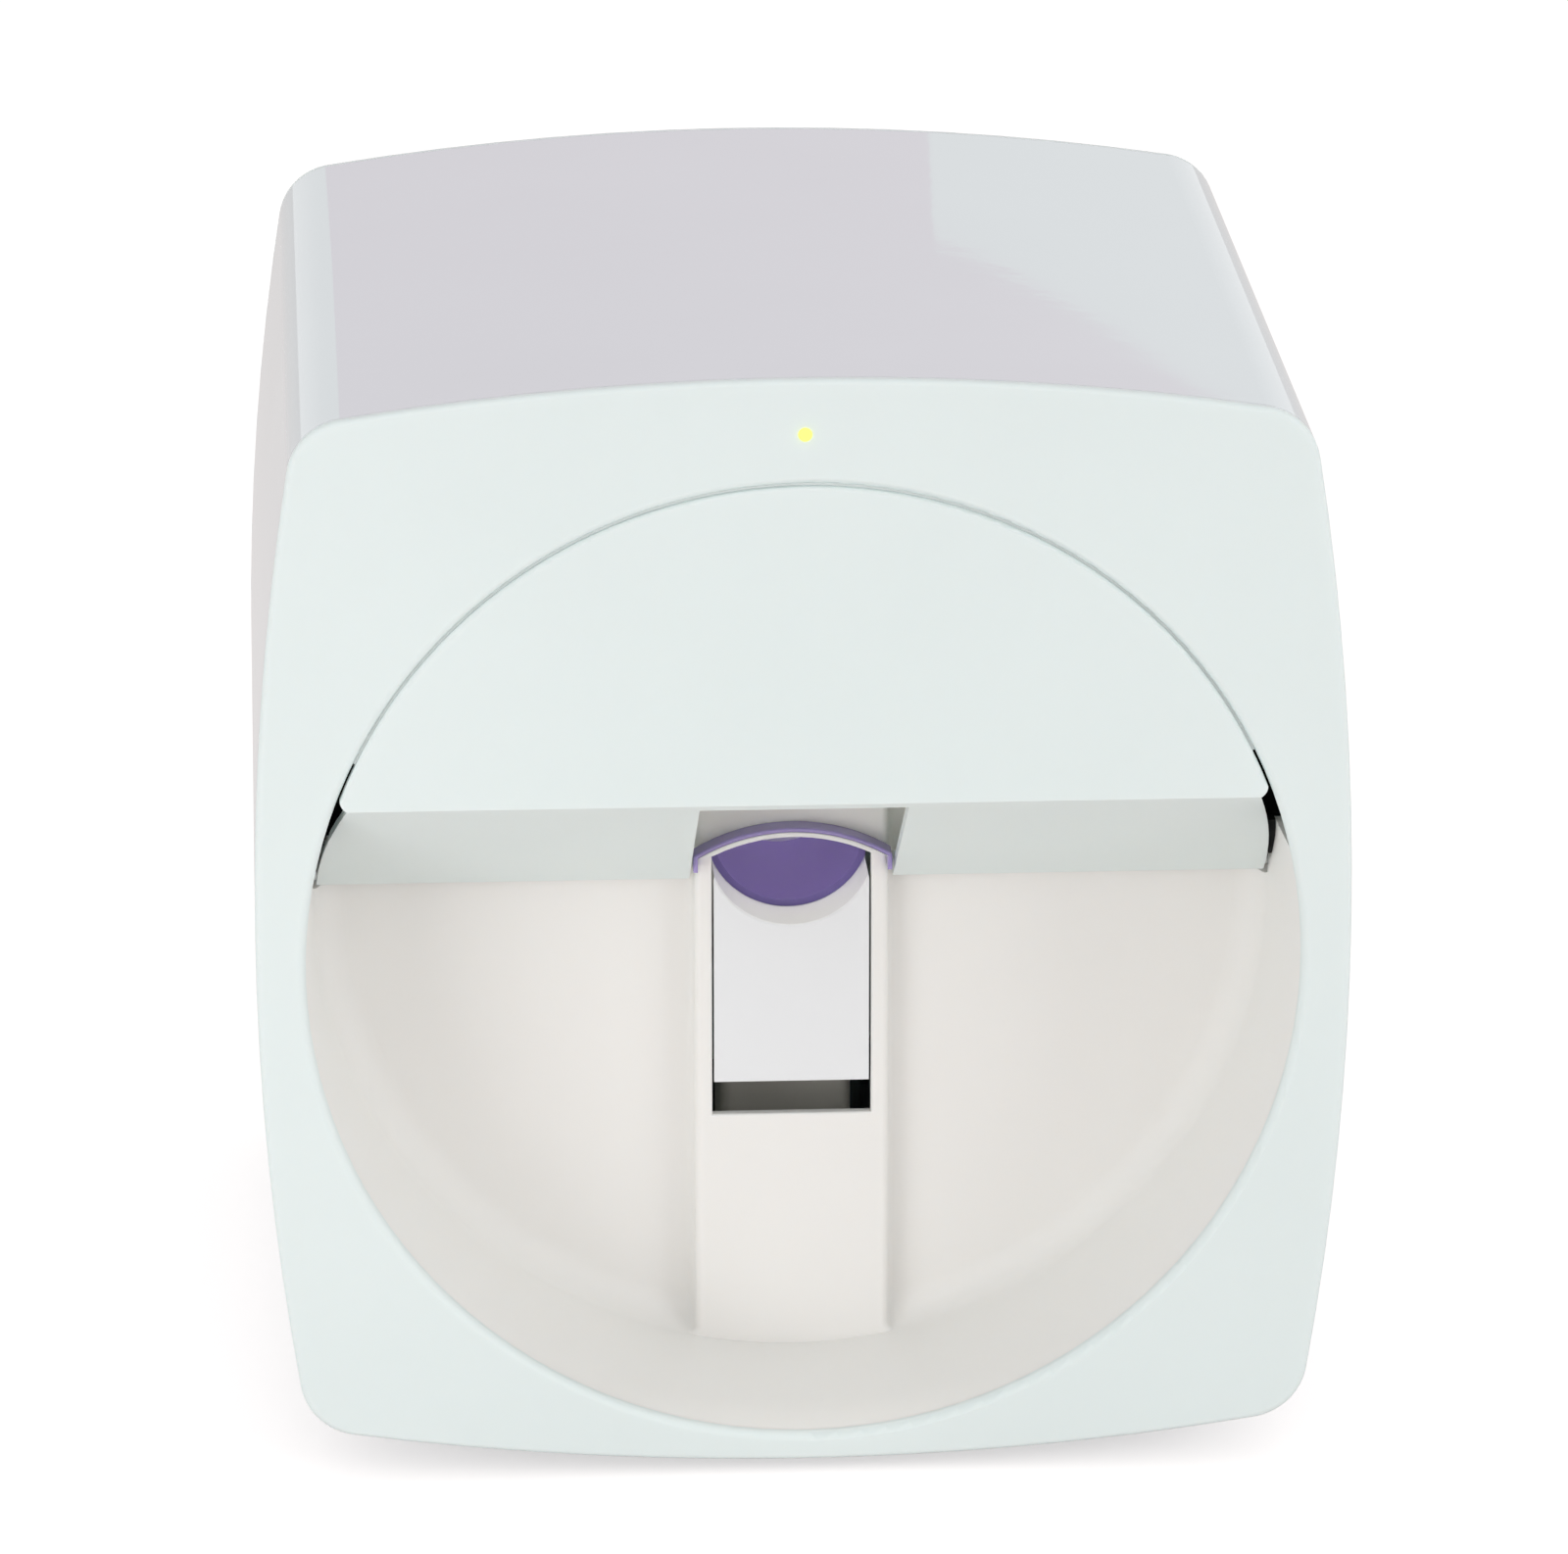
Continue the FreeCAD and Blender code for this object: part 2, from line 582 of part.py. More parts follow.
def hand_bowl():
    """Round recess for the hand: drafted wall, flat back and the raised column with its slot."""
    body = new_body("hand_bowl")
    ears = sketch(body, "XZ_Plane", "bezel_back + lip_depth")
    for x, z in BOWL_SCREWS:
        inner, outer = f"({x}) - 9", f"({x}) + 5"
        if number(x) < 0:
            inner, outer = f"({x}) - 5", f"({x}) + 9"
        rectangle(ears, inner, f"{z} - 5", outer, f"{z} + 9")
    pad(body, ears, "2.4")
    cup = sketch(body, "YZ_Plane", "0", "mouth_level")
    outline(cup, [("bezel_back", "0"), ("bowl_back + bowl_wall", "0"),
                  ("bowl_back + bowl_wall", "bowl_back_radius + bowl_wall"),
                  ("bezel_back", "mouth_radius + bowl_wall")])
    revolve(body, cup, "H_Axis")
    soften(body, "bowl_corner", lambda edge: lies(edge, "Y", number("bowl_back + bowl_wall"))
           and circular(edge, number("bowl_back_radius + bowl_wall")))
    inside = sketch(body, "YZ_Plane", "0", "mouth_level")
    outline(inside, [("bezel_back", "0"), ("bowl_back", "0"), ("bowl_back", "bowl_back_radius"),
                     ("bezel_back", "mouth_radius")])
    hollow = body.newObject("PartDesign::Groove", "bowl_hollow")
    hollow.Profile = inside
    hollow.ReferenceAxis = (inside, ["H_Axis"])
    hollow.Angle = 360
    settled(hollow)
    soften(body, "bowl_corner", lambda edge: lies(edge, "Y", number("bowl_back"))
           and circular(edge, number("bowl_back_radius")))
    above = sketch(body, "XZ_Plane", "bezel_back")
    rectangle(above, "-1 * body_width", "bowl_top", "body_width", "bowl_top + body_height")
    pocket(body, above, "bowl_depth + bowl_wall")
    half = "column_width / 2"
    sweep = "bowl_back_radius + 1"
    column = sketch(body, "XZ_Plane", "column_front")
    base = f"mouth_level - sqrt(({sweep}) * ({sweep}) - ({half}) * ({half}))"
    outline(column, [(f"-1 * {half}", base), (half, base), (half, "column_top"),
                     (f"-1 * {half}", "column_top")], {0: sweep})
    pad(body, column, "column_depth + bowl_wall")
    soften(body, "1.4", lambda edge: runs(edge, "Z", 30) and lies(edge, "Y", number("bowl_back")))
    soften(body, "column_edge", lambda edge: runs(edge, "Z", 30)
           and lies(edge, "Y", number("column_front")))
    back = sketch(body, "XZ_Plane", "column_front + bowl_wall")
    rectangle(back, f"bowl_wall - {half}", "slot_bottom - 6", f"{half} - bowl_wall",
              "column_top - bowl_wall")
    pocket(body, back, "column_depth")
    slot = sketch(body, "XZ_Plane", "column_front")
    slot_half = "slot_width / 2"
    spring = f"arch_level + sqrt(arch_radius * arch_radius - ({slot_half}) * ({slot_half}))"
    outline(slot, [(f"-1 * {slot_half}", "slot_bottom"), (slot_half, "slot_bottom"),
                   (slot_half, spring), (f"-1 * {slot_half}", spring)], {2: "arch_radius"})
    pocket(body, slot, "bowl_wall")
    soften(body, "0.5", lambda edge: lies(edge, "Y", number("column_front"))
           and abs(edge.BoundBox.XMin) < number(slot_half) + 0.1
           and edge.BoundBox.ZMin > number("slot_bottom") - 1
           and edge.BoundBox.ZMax < number("slot_top") + 1)
    brow_half = "hood_width / 2 - hood_thick"
    brow = sketch(body, "XZ_Plane", "hood_front")
    arch_foot = f"arch_level + sqrt(brow_radius * brow_radius - ({brow_half}) * ({brow_half}))"
    outline(brow, [(f"-1 * {slot_half}", spring), (slot_half, spring), (brow_half, arch_foot),
                   (f"-1 * ({brow_half})", arch_foot)], {0: "-1 * arch_radius", 2: "brow_radius"})
    pad(body, brow, "brow_depth + bowl_wall")
    for side in (-1, 1):
        boss = sketch(body, "YZ_Plane", span(side, "mouth_radius - 1.2", "mouth_radius + 2.7")[0])
        circle(boss, "pivot_y", "pivot_z", "pin_radius + 2.4")
        pad(body, boss, "3.9")
        relief = sketch(body, "YZ_Plane", span(side, "mouth_radius - 9.4", "mouth_radius - 1.4")[0])
        circle(relief, "pivot_y", "pivot_z", "barrel_radius + 0.7")
        pocket(body, relief, "8")
        eye = sketch(body, "YZ_Plane", span(side, "mouth_radius - 3", "mouth_radius + 3")[0])
        circle(eye, "pivot_y", "pivot_z", "pin_radius + rod_fit")
        pocket(body, eye, "6")
    bores = sketch(body, "XZ_Plane", "bezel_back + lip_depth")
    for x, z in BOWL_SCREWS:
        circle(bores, x, z, "screw_radius")
    pocket(body, bores, "2.4")
    return body


def finger_hood():
    """Violet see-through guard that arches over the thumb in front of the slot."""
    body = new_body("finger_hood")
    half, inner = "hood_width / 2", "hood_width / 2 - hood_thick"
    inner_foot = f"arch_level + sqrt(brow_radius * brow_radius - ({inner}) * ({inner}))"
    outer_foot = f"arch_level + sqrt(hood_radius * hood_radius - ({half}) * ({half}))"
    leg = f"{inner_foot} - hood_leg"
    arch = sketch(body, "XZ_Plane", "hood_front")
    outline(arch, [(f"-1 * {half}", leg), (f"-1 * ({inner})", leg), (f"-1 * ({inner})", inner_foot),
                   (inner, inner_foot), (inner, leg), (half, leg), (half, outer_foot),
                   (f"-1 * {half}", outer_foot)], {2: "-1 * brow_radius", 6: "hood_radius"})
    pad(body, arch, "brow_depth")
    soften(body, "0.9", lambda edge: runs(edge, "Y", 2)
           and abs(abs(edge.BoundBox.XMin) - number(half)) < 0.05
           and edge.BoundBox.ZMin > number(leg) + 1)
    soften(body, "0.35", lambda edge: lies(edge, "Y", number("hood_front")))
    return body


def indicator_lens():
    """Light guide whose tip is flush with the bezel."""
    tip = rod("light_radius", ("0", "front", "light_level"), "bezel_thick", ALONG_Y)
    flange = rod("light_radius + 1.6", ("0", "bezel_back", "light_level"), "1", ALONG_Y)
    return fuse(tip, flange)


def indicator_board():
    """Small board with the lamp behind the light guide."""
    board = block(("-9", "bezel_back + 2.6", "light_level - 3.5"),
                  ("9", "bezel_back + 3.8", "light_level + 3.5"))
    lamp = block(("-1.5", "bezel_back + 1.1", "light_level - 1"),
                 ("1.5", "bezel_back + 2.6", "light_level + 1"))
    return fuse(board, lamp)


def rear_cover():
    """Back panel with cooling slots, the inlet and button openings and sunk screw seats."""
    body = new_body("rear_cover")
    pad(body, pillow(sketch(body, "XZ_Plane", "rear_inner", "mid_level")), "rear_thick")
    soften(body, "corner_round", lambda edge: runs(edge, "Y", 1))
    soften(body, "rear_edge", lambda edge: lies(edge, "Y", number("rear")))
    lip = sketch(body, "XZ_Plane", "rear_inner - rear_lip", "mid_level")
    pillow(lip, "shell_wall + seam_fit")
    pad(body, lip, "rear_lip")
    corner = corner_x("shell_wall + seam_fit")
    soften(body, "corner_round - shell_wall",
           lambda edge: runs(edge, "Y", 1) and abs(abs(edge.BoundBox.XMin) - corner) < 0.4)
    hollow = sketch(body, "XZ_Plane", "rear_inner - rear_lip", "mid_level")
    pillow(hollow, "shell_wall + seam_fit + lip_wall")
    pocket(body, hollow, "rear_lip")
    notches = sketch(body, "XZ_Plane", "rear_inner - rear_lip")
    for x, z in CORNER_SCREWS:
        left, right = (x, f"({x}) + post_inset - 3") if number(x) > 0 else (
            f"({x}) - post_inset + 3", x)
        rectangle(notches, left, f"{z} - 1.4", right, f"{z} + 1.4")
    pocket(body, notches, "rear_lip")
    posts = sketch(body, "XZ_Plane", "switch_back")
    for side in (-1, 1):
        circle(posts, f"button_x + {side} * 12", "button_z", "2")
    pad(body, posts, "rear_inner + 0.5 - (switch_back)")
    slot = sketch(body, "XZ_Plane", "rear_inner")
    half = "vent_length / 2"
    outline(slot, [(f"-1 * {half}", "vent_rise"), (half, "vent_rise"),
                   (half, "vent_rise + vent_width"), (f"-1 * {half}", "vent_rise + vent_width")],
            {1: "vent_width / 2 + 0.001", 3: "vent_width / 2 + 0.001"})
    first = pocket(body, slot, "rear_thick")
    repeat(body, first, "V_Axis", "vent_count", "vent_pitch")
    openings = sketch(body, "XZ_Plane", "rear_inner")
    circle(openings, "-1 * inlet_x", "inlet_z", "inlet_bore + 1.4")
    circle(openings, "button_x", "button_z", "button_radius + button_fit")
    for x, z in CORNER_SCREWS:
        circle(openings, x, z, "screw_radius + 0.3")
    pocket(body, openings, "rear_thick")
    sunk = sketch(body, "XZ_Plane", "rear - 1.5")
    for x, z in CORNER_SCREWS:
        circle(sunk, x, z, "screw_radius + 1.8")
    pocket(body, sunk, "1.5")
    return body


def rubber_feet():
    """Four round feet, each pressed into its socket."""
    feet = []
    for x, y in four("foot_x", "foot_front", "foot_rear"):
        foot = rod("foot_radius", (x, y, "0"), "foot_depth")
        edge = doc.addObject("Part::Chamfer", "foot_edge")
        edge.Base = foot
        doc.recompute()
        ring = next(n for n, e in enumerate(foot.Shape.Edges, 1) if lies(e, "Z", 0))
        edge.Edges = [(ring, 0.6, 0.6)]
        feet.append(edge)
    return group(*feet)


def front_cover():
    """Door in the upper part of the opening, one moulding with the sloping roof of the bowl."""
    body = new_body("front_cover")
    slope_y, slope_z = "sin(ramp_angle)", "cos(ramp_angle)"
    under = ("pivot_y - barrel_radius * " + slope_y, "pivot_z - barrel_radius * " + slope_z)
    over = (f"{under[0]} + ramp_thick * {slope_y}", f"{under[1]} + ramp_thick * {slope_z}")
    ramp = sketch(body, "YZ_Plane", "-1 * ramp_radius")
    outline(ramp, [("front", "cover_edge"), under, over,
                   ("front", "cover_edge + ramp_thick / cos(ramp_angle)")])
    pad(body, ramp, "2 * ramp_radius")
    barrel = sketch(body, "YZ_Plane", "-1 * ramp_radius")
    circle(barrel, "pivot_y", "pivot_z", "barrel_radius")
    pad(body, barrel, "2 * ramp_radius")
    ends = sketch(body, "XZ_Plane", "front")
    circle(ends, "0", "mouth_level", "body_width")
    circle(ends, "0", "mouth_level", "ramp_radius")
    pocket(body, ends, "pivot_depth + barrel_radius + 1")
    notch = sketch(body, "XY_Plane", "pivot_z - 2 * barrel_radius")
    rectangle(notch, "-1 * notch_width / 2", "cover_back", "notch_width / 2",
              "pivot_y + 2 * barrel_radius")
    pocket(body, notch, "cover_edge + 2 * ramp_thick - (pivot_z - 2 * barrel_radius)")
    skin = sketch(body, "XZ_Plane", "front")
    low, high = (f"sqrt(cover_radius * cover_radius - ({rise}) * ({rise}))"
                 for rise in ("cover_edge - mouth_level", "cover_edge + cover_corner - mouth_level"))
    low = f"{low} - cover_corner"
    outline(skin, [(f"-1 * ({low})", "cover_edge"), (low, "cover_edge"),
                   (high, "cover_edge + cover_corner"),
                   (f"-1 * {high}", "cover_edge + cover_corner")],
            {1: "1.5 * cover_corner", 2: "cover_radius", 3: "1.5 * cover_corner"})
    pad(body, skin, "cover_thick")
    rim = sketch(body, "XZ_Plane", "cover_back - 0.5")
    start = "cover_edge + 8 - mouth_level"
    outer = f"sqrt(cover_radius * cover_radius - ({start}) * ({start}))"
    inner = f"sqrt((cover_radius - cover_rim) * (cover_radius - cover_rim) - ({start}) * ({start}))"
    foot = f"mouth_level + {start}"
    outline(rim, [(outer, foot), (f"-1 * {outer}", foot), (f"-1 * {inner}", foot), (inner, foot)],
            {0: "cover_radius", 2: "-1 * (cover_radius - cover_rim)"})
    pad(body, rim, "rim_depth - cover_thick + 0.5")
    soften(body, "0.6", lambda edge: lies(edge, "Y", number("front"))
           and edge.BoundBox.ZMax > number("cover_edge") + 3)
    for side in (-1, 1):
        web = sketch(body, "YZ_Plane", span(side, "gusset_place", "gusset_place + gusset_thick")[0])
        outline(web, [("cover_back - 0.5", "cover_edge + 1"), ("pivot_y", "pivot_z"),
                      ("cover_back - 0.5", "cover_edge + gusset_rise")])
        pad(body, web, "gusset_thick")
    bosses = sketch(body, "XZ_Plane", "cover_back - 0.5")
    for side in (-1, 1):
        circle(bosses, f"{side} * magnet_place", "catch_level", "magnet_radius + 1.5")
    pad(body, bosses, "catch_y - 0.3 - (cover_back - 0.5)")
    seats = sketch(body, "XZ_Plane", "catch_y - 0.3 - magnet_thick")
    for side in (-1, 1):
        circle(seats, f"{side} * magnet_place", "catch_level", "magnet_radius")
    pocket(body, seats, "magnet_thick")
    for side in (-1, 1):
        bore = sketch(body, "YZ_Plane", span(side, "pin_inner", "mouth_radius")[0])
        circle(bore, "pivot_y", "pivot_z", "pin_radius")
        pocket(body, bore, "mouth_radius - pin_inner")
    return body


def hinge_pins():
    """Steel pins, fast in the cover and free in the bowl's side walls."""
    return group(rod("pin_radius", ("pin_inner", "pivot_y", "pivot_z"), "pin_length", ALONG_X),
                 rod("pin_radius", ("-1 * (pin_inner + pin_length)", "pivot_y", "pivot_z"),
                     "pin_length", ALONG_X))


def magnets(face, toward):
    """A pair of disc magnets whose faces lie at one place along Y."""
    base = face if toward > 0 else f"{face} - magnet_thick"
    return group(*(rod("magnet_radius", (f"{side} * magnet_place", base, "catch_level"),
                       "magnet_thick", ALONG_Y) for side in (-1, 1)))


def screws(places, seat, shank, along=None):
    """Pan-head screws: each head stands on its seat and the shank runs the other way."""
    made = []
    for first, second in places:
        head, tail = seat, f"{seat} - {shank}"
        bases = [(first, at, second) if along else (first, second, at) for at in (head, tail)]
        made.append(fuse(rod("2 * screw_radius", bases[0], "1.5", along),
                         rod("screw_radius", bases[1], shank, along)))
    return group(*made)




# ---- chassis and side frames ----

def base_chassis():
    """Moulded floor plate that carries the frames, the tray guide, the board and the battery."""
    body = new_body("base_chassis")
    plate = sketch(body, "XY_Plane", "chassis_level")
    rectangle(plate, "-1 * chassis_width / 2", "-1 * chassis_front", "chassis_width / 2",
              "chassis_rear")
    pad(body, plate, "chassis_thick")
    soften(body, "6", lambda edge: runs(edge, "Z", 1))
    standoffs = sketch(body, "XY_Plane", "chassis_top")
    for x in (BOARD_LEFT, BOARD_RIGHT):
        for y in (BOARD_FRONT, BOARD_REAR):
            circle(standoffs, f"{x[0]} {x[1]} 4", f"{y[0]} {y[1]} 4", "2.6")
    pad(body, standoffs, "board_level - (chassis_top)")
    ribs = sketch(body, "XY_Plane", "chassis_level - 2.5")
    for x in ("-34", "-12", "10", "32"):
        rectangle(ribs, x, "10 - chassis_front", f"{x} + 2", "chassis_rear - 10")
    pad(body, ribs, "2.5")
    holes = sketch(body, "XY_Plane", "chassis_level")
    for x, y in four("post_x", "post_front", "post_rear"):
        circle(holes, x, y, "screw_radius + 0.2")
    pocket(body, holes, "chassis_thick")
    taps = sketch(body, "XY_Plane", "chassis_level")
    for x, y in FRAME_SCREWS:
        circle(taps, x, y, "screw_radius")
    pocket(body, taps, "chassis_thick")
    return body


BOARD_LEFT, BOARD_RIGHT = ("board_left", "+"), ("board_right", "-")
BOARD_FRONT, BOARD_REAR = ("board_front", "+"), ("board_rear", "-")
FRAME_SCREWS = [(f"{side} * (frame_x - 6)", y) for side in (-1, 1)
                for y in ("12 - frame_front", "frame_rear - 18")]


def side_frame(name, side):
    """Bent sheet: a web with a window, end flanges for the guide rod and a foot flange."""
    body = new_body(name)
    web = sketch(body, "YZ_Plane", span(side, "frame_x", "frame_outer")[0])
    rectangle(web, "-1 * frame_front", "chassis_top", "frame_rear", "frame_top")
    pad(body, web, "sheet_thick")
    soften(body, "5", lambda edge: runs(edge, "X", 1)
           and edge.BoundBox.ZMin > number("frame_top") - 1)
    window = sketch(body, "YZ_Plane", span(side, "frame_x", "frame_outer")[0])
    rectangle(window, "14 - frame_front", "chassis_top + 16", "frame_rear - 14",
              "rod_level - 34")
    rectangle(window, "14 - frame_front", "rod_level + 14", "frame_rear - 14", "frame_top - 12")
    pocket(body, window, "sheet_thick")
    soften(body, "4", lambda edge: runs(edge, "X", 1)
           and number("14 - frame_front") - 1 < edge.BoundBox.YMin < number("frame_rear - 13"))
    left, right = span(side, "frame_outer - flange_reach", "frame_x + 0.2")
    for start in ("-1 * frame_front", "screw_plane"):
        flange = sketch(body, "XZ_Plane", start)
        rectangle(flange, left, "screw_level - 14", right, "rod_level + 10")
        pad(body, flange, "sheet_thick")
    left, right = span(side, "frame_outer - 11.5", "frame_x + 0.2")
    foot = sketch(body, "XY_Plane", "chassis_top")
    rectangle(foot, left, "3 - frame_front", right, "frame_rear - 8")
    pad(body, foot, "sheet_thick")
    rods = sketch(body, "XZ_Plane", "-1 * frame_front")
    circle(rods, f"{side} * rod_x", "rod_level", "rod_radius")
    pocket(body, rods, "frame_front + frame_rear")
    if side > 0:
        drive = sketch(body, "XZ_Plane", "-1 * frame_front")
        circle(drive, "rod_x", "screw_level", "3.2")
        pocket(body, drive, "sheet_thick")
        bearing = sketch(body, "XZ_Plane", "screw_plane")
        circle(bearing, "rod_x", "screw_level", "lead_radius + bush_wall")
        pocket(body, bearing, "sheet_thick")
    holes = sketch(body, "XY_Plane", "chassis_top")
    for x, y in FRAME_SCREWS:
        if number(x) * side > 0:
            circle(holes, x, y, "screw_radius + 0.2")
    pocket(body, holes, "sheet_thick")
    return body


def guide_rod(side):
    """Ground rod along Y, held in the flanges of one side frame."""
    return rod("rod_radius", (f"{side} * rod_x", "-1 * frame_front", "rod_level"),
               "frame_front + frame_rear", ALONG_Y)


def stepper(low_x, front_y, low_z, shaft_end):
    """Small square stepping motor with bevelled edges, end cap lines and its pilot boss."""
    body = new_body("stepper")
    can = sketch(body, "XZ_Plane", front_y)
    rectangle(can, low_x, low_z, f"({low_x}) + stepper_size", f"({low_z}) + stepper_size")
    pad(body, can, "stepper_length")
    soften(body, "2.2", lambda edge: runs(edge, "Y", 10), "Chamfer")
    for start in ("5.5", "stepper_length - 6.5"):
        line = sketch(body, "XZ_Plane", f"({front_y}) + {start}")
        rectangle(line, f"({low_x}) - 1", f"({low_z}) - 1", f"({low_x}) + stepper_size + 1",
                  f"({low_z}) + stepper_size + 1")
        rectangle(line, f"({low_x}) + 0.5", f"({low_z}) + 0.5", f"({low_x}) + stepper_size - 0.5",
                  f"({low_z}) + stepper_size - 0.5")
        pocket(body, line, "0.8")
    bore = sketch(body, "XZ_Plane", f"({front_y}) + stepper_length - 6")
    circle(bore, f"({low_x}) + stepper_size / 2", f"({low_z}) + stepper_size / 2", shaft_end)
    pocket(body, bore, "6")
    return body


def y_motor():
    """Motor of the long travel, screwed behind the right frame's front flange."""
    return stepper("rod_x - stepper_size / 2", "sheet_thick - frame_front",
                   "screw_level - stepper_size / 2", "1.5 + rod_fit")


def screw_bearing():
    """Bush that holds the far end of the lead screw."""
    outer = rod("lead_radius + bush_wall", ("rod_x", "screw_plane - 2.5", "screw_level"),
                "sheet_thick + 2.5", ALONG_Y)
    bore = rod("lead_radius + rod_fit", ("rod_x", "screw_plane - 3", "screw_level"),
               "sheet_thick + 3.5", ALONG_Y)
    return cut(outer, bore)


def lead_screw():
    """Lead screw with its coupling and the motor's shaft end."""
    start = "sheet_thick - frame_front + stepper_length"
    shaft = rod("1.5", ("rod_x", f"{start} - 5.5", "screw_level"), "8", ALONG_Y)
    collar = rod("lead_radius + 1.5", ("rod_x", f"{start} + 1", "screw_level"), "9", ALONG_Y)
    thread = rod("lead_radius", ("rod_x", f"{start} + 9.5", "screw_level"),
                 f"screw_plane + sheet_thick + 0.4 - ({start} + 9.5)", ALONG_Y)
    return fuse(shaft, collar, thread)


def camera_bracket():
    """Bridge across the tops of the side frames."""
    body = new_body("camera_bracket")
    plate = sketch(body, "XY_Plane", "frame_top")
    rectangle(plate, "-1 * (frame_outer)", "-1 * frame_front + 4", "frame_outer", "camera_y + 17")
    pad(body, plate, "sheet_thick")
    soften(body, "3", lambda edge: runs(edge, "Z", 1))
    hooks = sketch(body, "XY_Plane", "frame_top - 7")
    for side in (-1, 1):
        left, right = span(side, "frame_x - sheet_thick", "frame_x")
        rectangle(hooks, left, "4 - frame_front + 6", right, "camera_y + 12")
    pad(body, hooks, "7.5")
    hole = sketch(body, "XY_Plane", "frame_top")
    circle(hole, "0", "camera_y", "6.2")
    pocket(body, hole, "sheet_thick")
    return body


def camera_module():
    """Camera board on the bridge with its barrel looking down at the nail."""
    top = "frame_top + sheet_thick"
    board = block(("-13", "camera_y - 13", top), ("13", "camera_y + 13", f"{top} + 1.6"))
    chip = block(("-5", "camera_y - 5", f"{top} + 1.6"), ("5", "camera_y + 5", f"{top} + 3"))
    barrel = rod("6", ("0", "camera_y", "frame_top - 11"), f"{top} - (frame_top - 11)")
    seat = rod("4.2", ("0", "camera_y", "frame_top - 11"), "1.6")
    return cut(fuse(board, chip, barrel), seat)


def camera_lens():
    """Front glass of the camera."""
    return rod("4.2", ("0", "camera_y", "frame_top - 10.6"), "1.2")


def ring_light():
    """Ring of lamps round the camera barrel, under the bridge."""
    ring = cut(rod("19", ("0", "camera_y", "frame_top - 1.4"), "1.4"),
               rod("6.6", ("0", "camera_y", "frame_top - 2"), "3"))
    lamps = []
    for n in range(8):
        x = f"12.5 * cos({n} * 45)"
        y = f"camera_y + 12.5 * sin({n} * 45)"
        lamps.append(block((f"{x} - 1.4", f"{y} - 1.4", "frame_top - 2.2"),
                           (f"{x} + 1.4", f"{y} + 1.4", "frame_top - 1.4")))
    return fuse(ring, *lamps)


# ---- moving stage ----

def stage_block(name, side):
    """End block of the cross rods; it slides on one guide rod, and the right one holds the nut."""
    body = new_body(name)
    left, right = span(side, "rod_x - block_width / 2", "rod_x + block_width / 2")
    bottom = "screw_level - lead_radius - bush_wall - 3" if side > 0 else "block_bottom"
    main = sketch(body, "XZ_Plane", "stage_front")
    rectangle(main, left, bottom, right, "block_top")
    pad(body, main, "block_depth")
    soften(body, "3", lambda edge: runs(edge, "Y", 5))
    bores = sketch(body, "XZ_Plane", "stage_front")
    circle(bores, f"{side} * rod_x", "rod_level", "rod_bush_radius")
    circle(bores, f"{side} * rod_x", "belt_level", "1.9 + rod_fit" if side < 0 else "idler_pin")
    if side > 0:
        circle(bores, "rod_x", "screw_level", "lead_radius + bush_wall")
    pocket(body, bores, "block_depth")
    cross = sketch(body, "YZ_Plane", left)
    for level in ("cross_low", "cross_high"):
        circle(cross, "stage_home", level, "cross_radius")
    pocket(body, cross, "block_width")
    return body


def bush(radius, base, length, turn):
    """Plain bush with running clearance on its shaft."""
    shaft = rod(f"{radius} + rod_fit", base, length, turn)
    return cut(rod(f"{radius} + bush_wall", base, length, turn), shaft)


def rod_bushes():
    """One long bush in each end block."""
    return group(*(bush("rod_radius", (f"{side} * rod_x", "stage_front", "rod_level"),
                        "block_depth", ALONG_Y) for side in (-1, 1)))


def cross_rod(level):
    """Rod along X that carries the carriage."""
    return rod("cross_radius", ("-1 * (rod_x + block_width / 2)", "stage_home", level),
               "2 * (rod_x + block_width / 2)", ALONG_X)


def lead_nut():
    """Flanged nut in the right end block."""
    flange = rod("lead_radius + bush_wall + 2.5", ("rod_x", "stage_front - 2", "screw_level"), "2",
                 ALONG_Y)
    barrel = rod("lead_radius + bush_wall", ("rod_x", "stage_front", "screw_level"),
                 "block_depth", ALONG_Y)
    bore = rod("lead_radius + rod_fit", ("rod_x", "stage_front - 3", "screw_level"),
               "block_depth + 4", ALONG_Y)
    return cut(fuse(flange, barrel), bore)


def x_motor():
    """Motor of the cross travel on the left end block."""
    return stepper("-1 * rod_x - stepper_size / 2", "stage_front - stepper_length",
                   "belt_level - stepper_size / 2", "1.5 + rod_fit")


def pulley(name, side, shaft_base, shaft_radius, bored):
    """Flanged belt pulley; the driving one carries its shaft and the idler runs on a pin."""
    body = new_body(name)
    profile = sketch(body, "YZ_Plane", f"{side} * rod_x", "belt_level")
    inner = f"{shaft_radius} + rod_fit" if bored else "0"
    start = "belt_y - (pulley_width - belt_width) / 2"
    end = "belt_y + (pulley_width + belt_width) / 2"
    groove, brim = "belt_y - 0.2", "belt_y + belt_width + 0.2"
    outline(profile, [(start, inner), (end, inner), (end, "pulley_radius + 2"),
                      (brim, "pulley_radius + 2"), (brim, "pulley_radius"),
                      (groove, "pulley_radius"), (groove, "pulley_radius + 2"),
                      (start, "pulley_radius + 2")])
    revolve(body, profile, "H_Axis")
    if bored:
        return body
    shaft = rod(shaft_radius, (f"{side} * rod_x", shaft_base, "belt_level"),
                f"{start} + 1 - ({shaft_base})", ALONG_Y)
    return fuse(body, shaft)


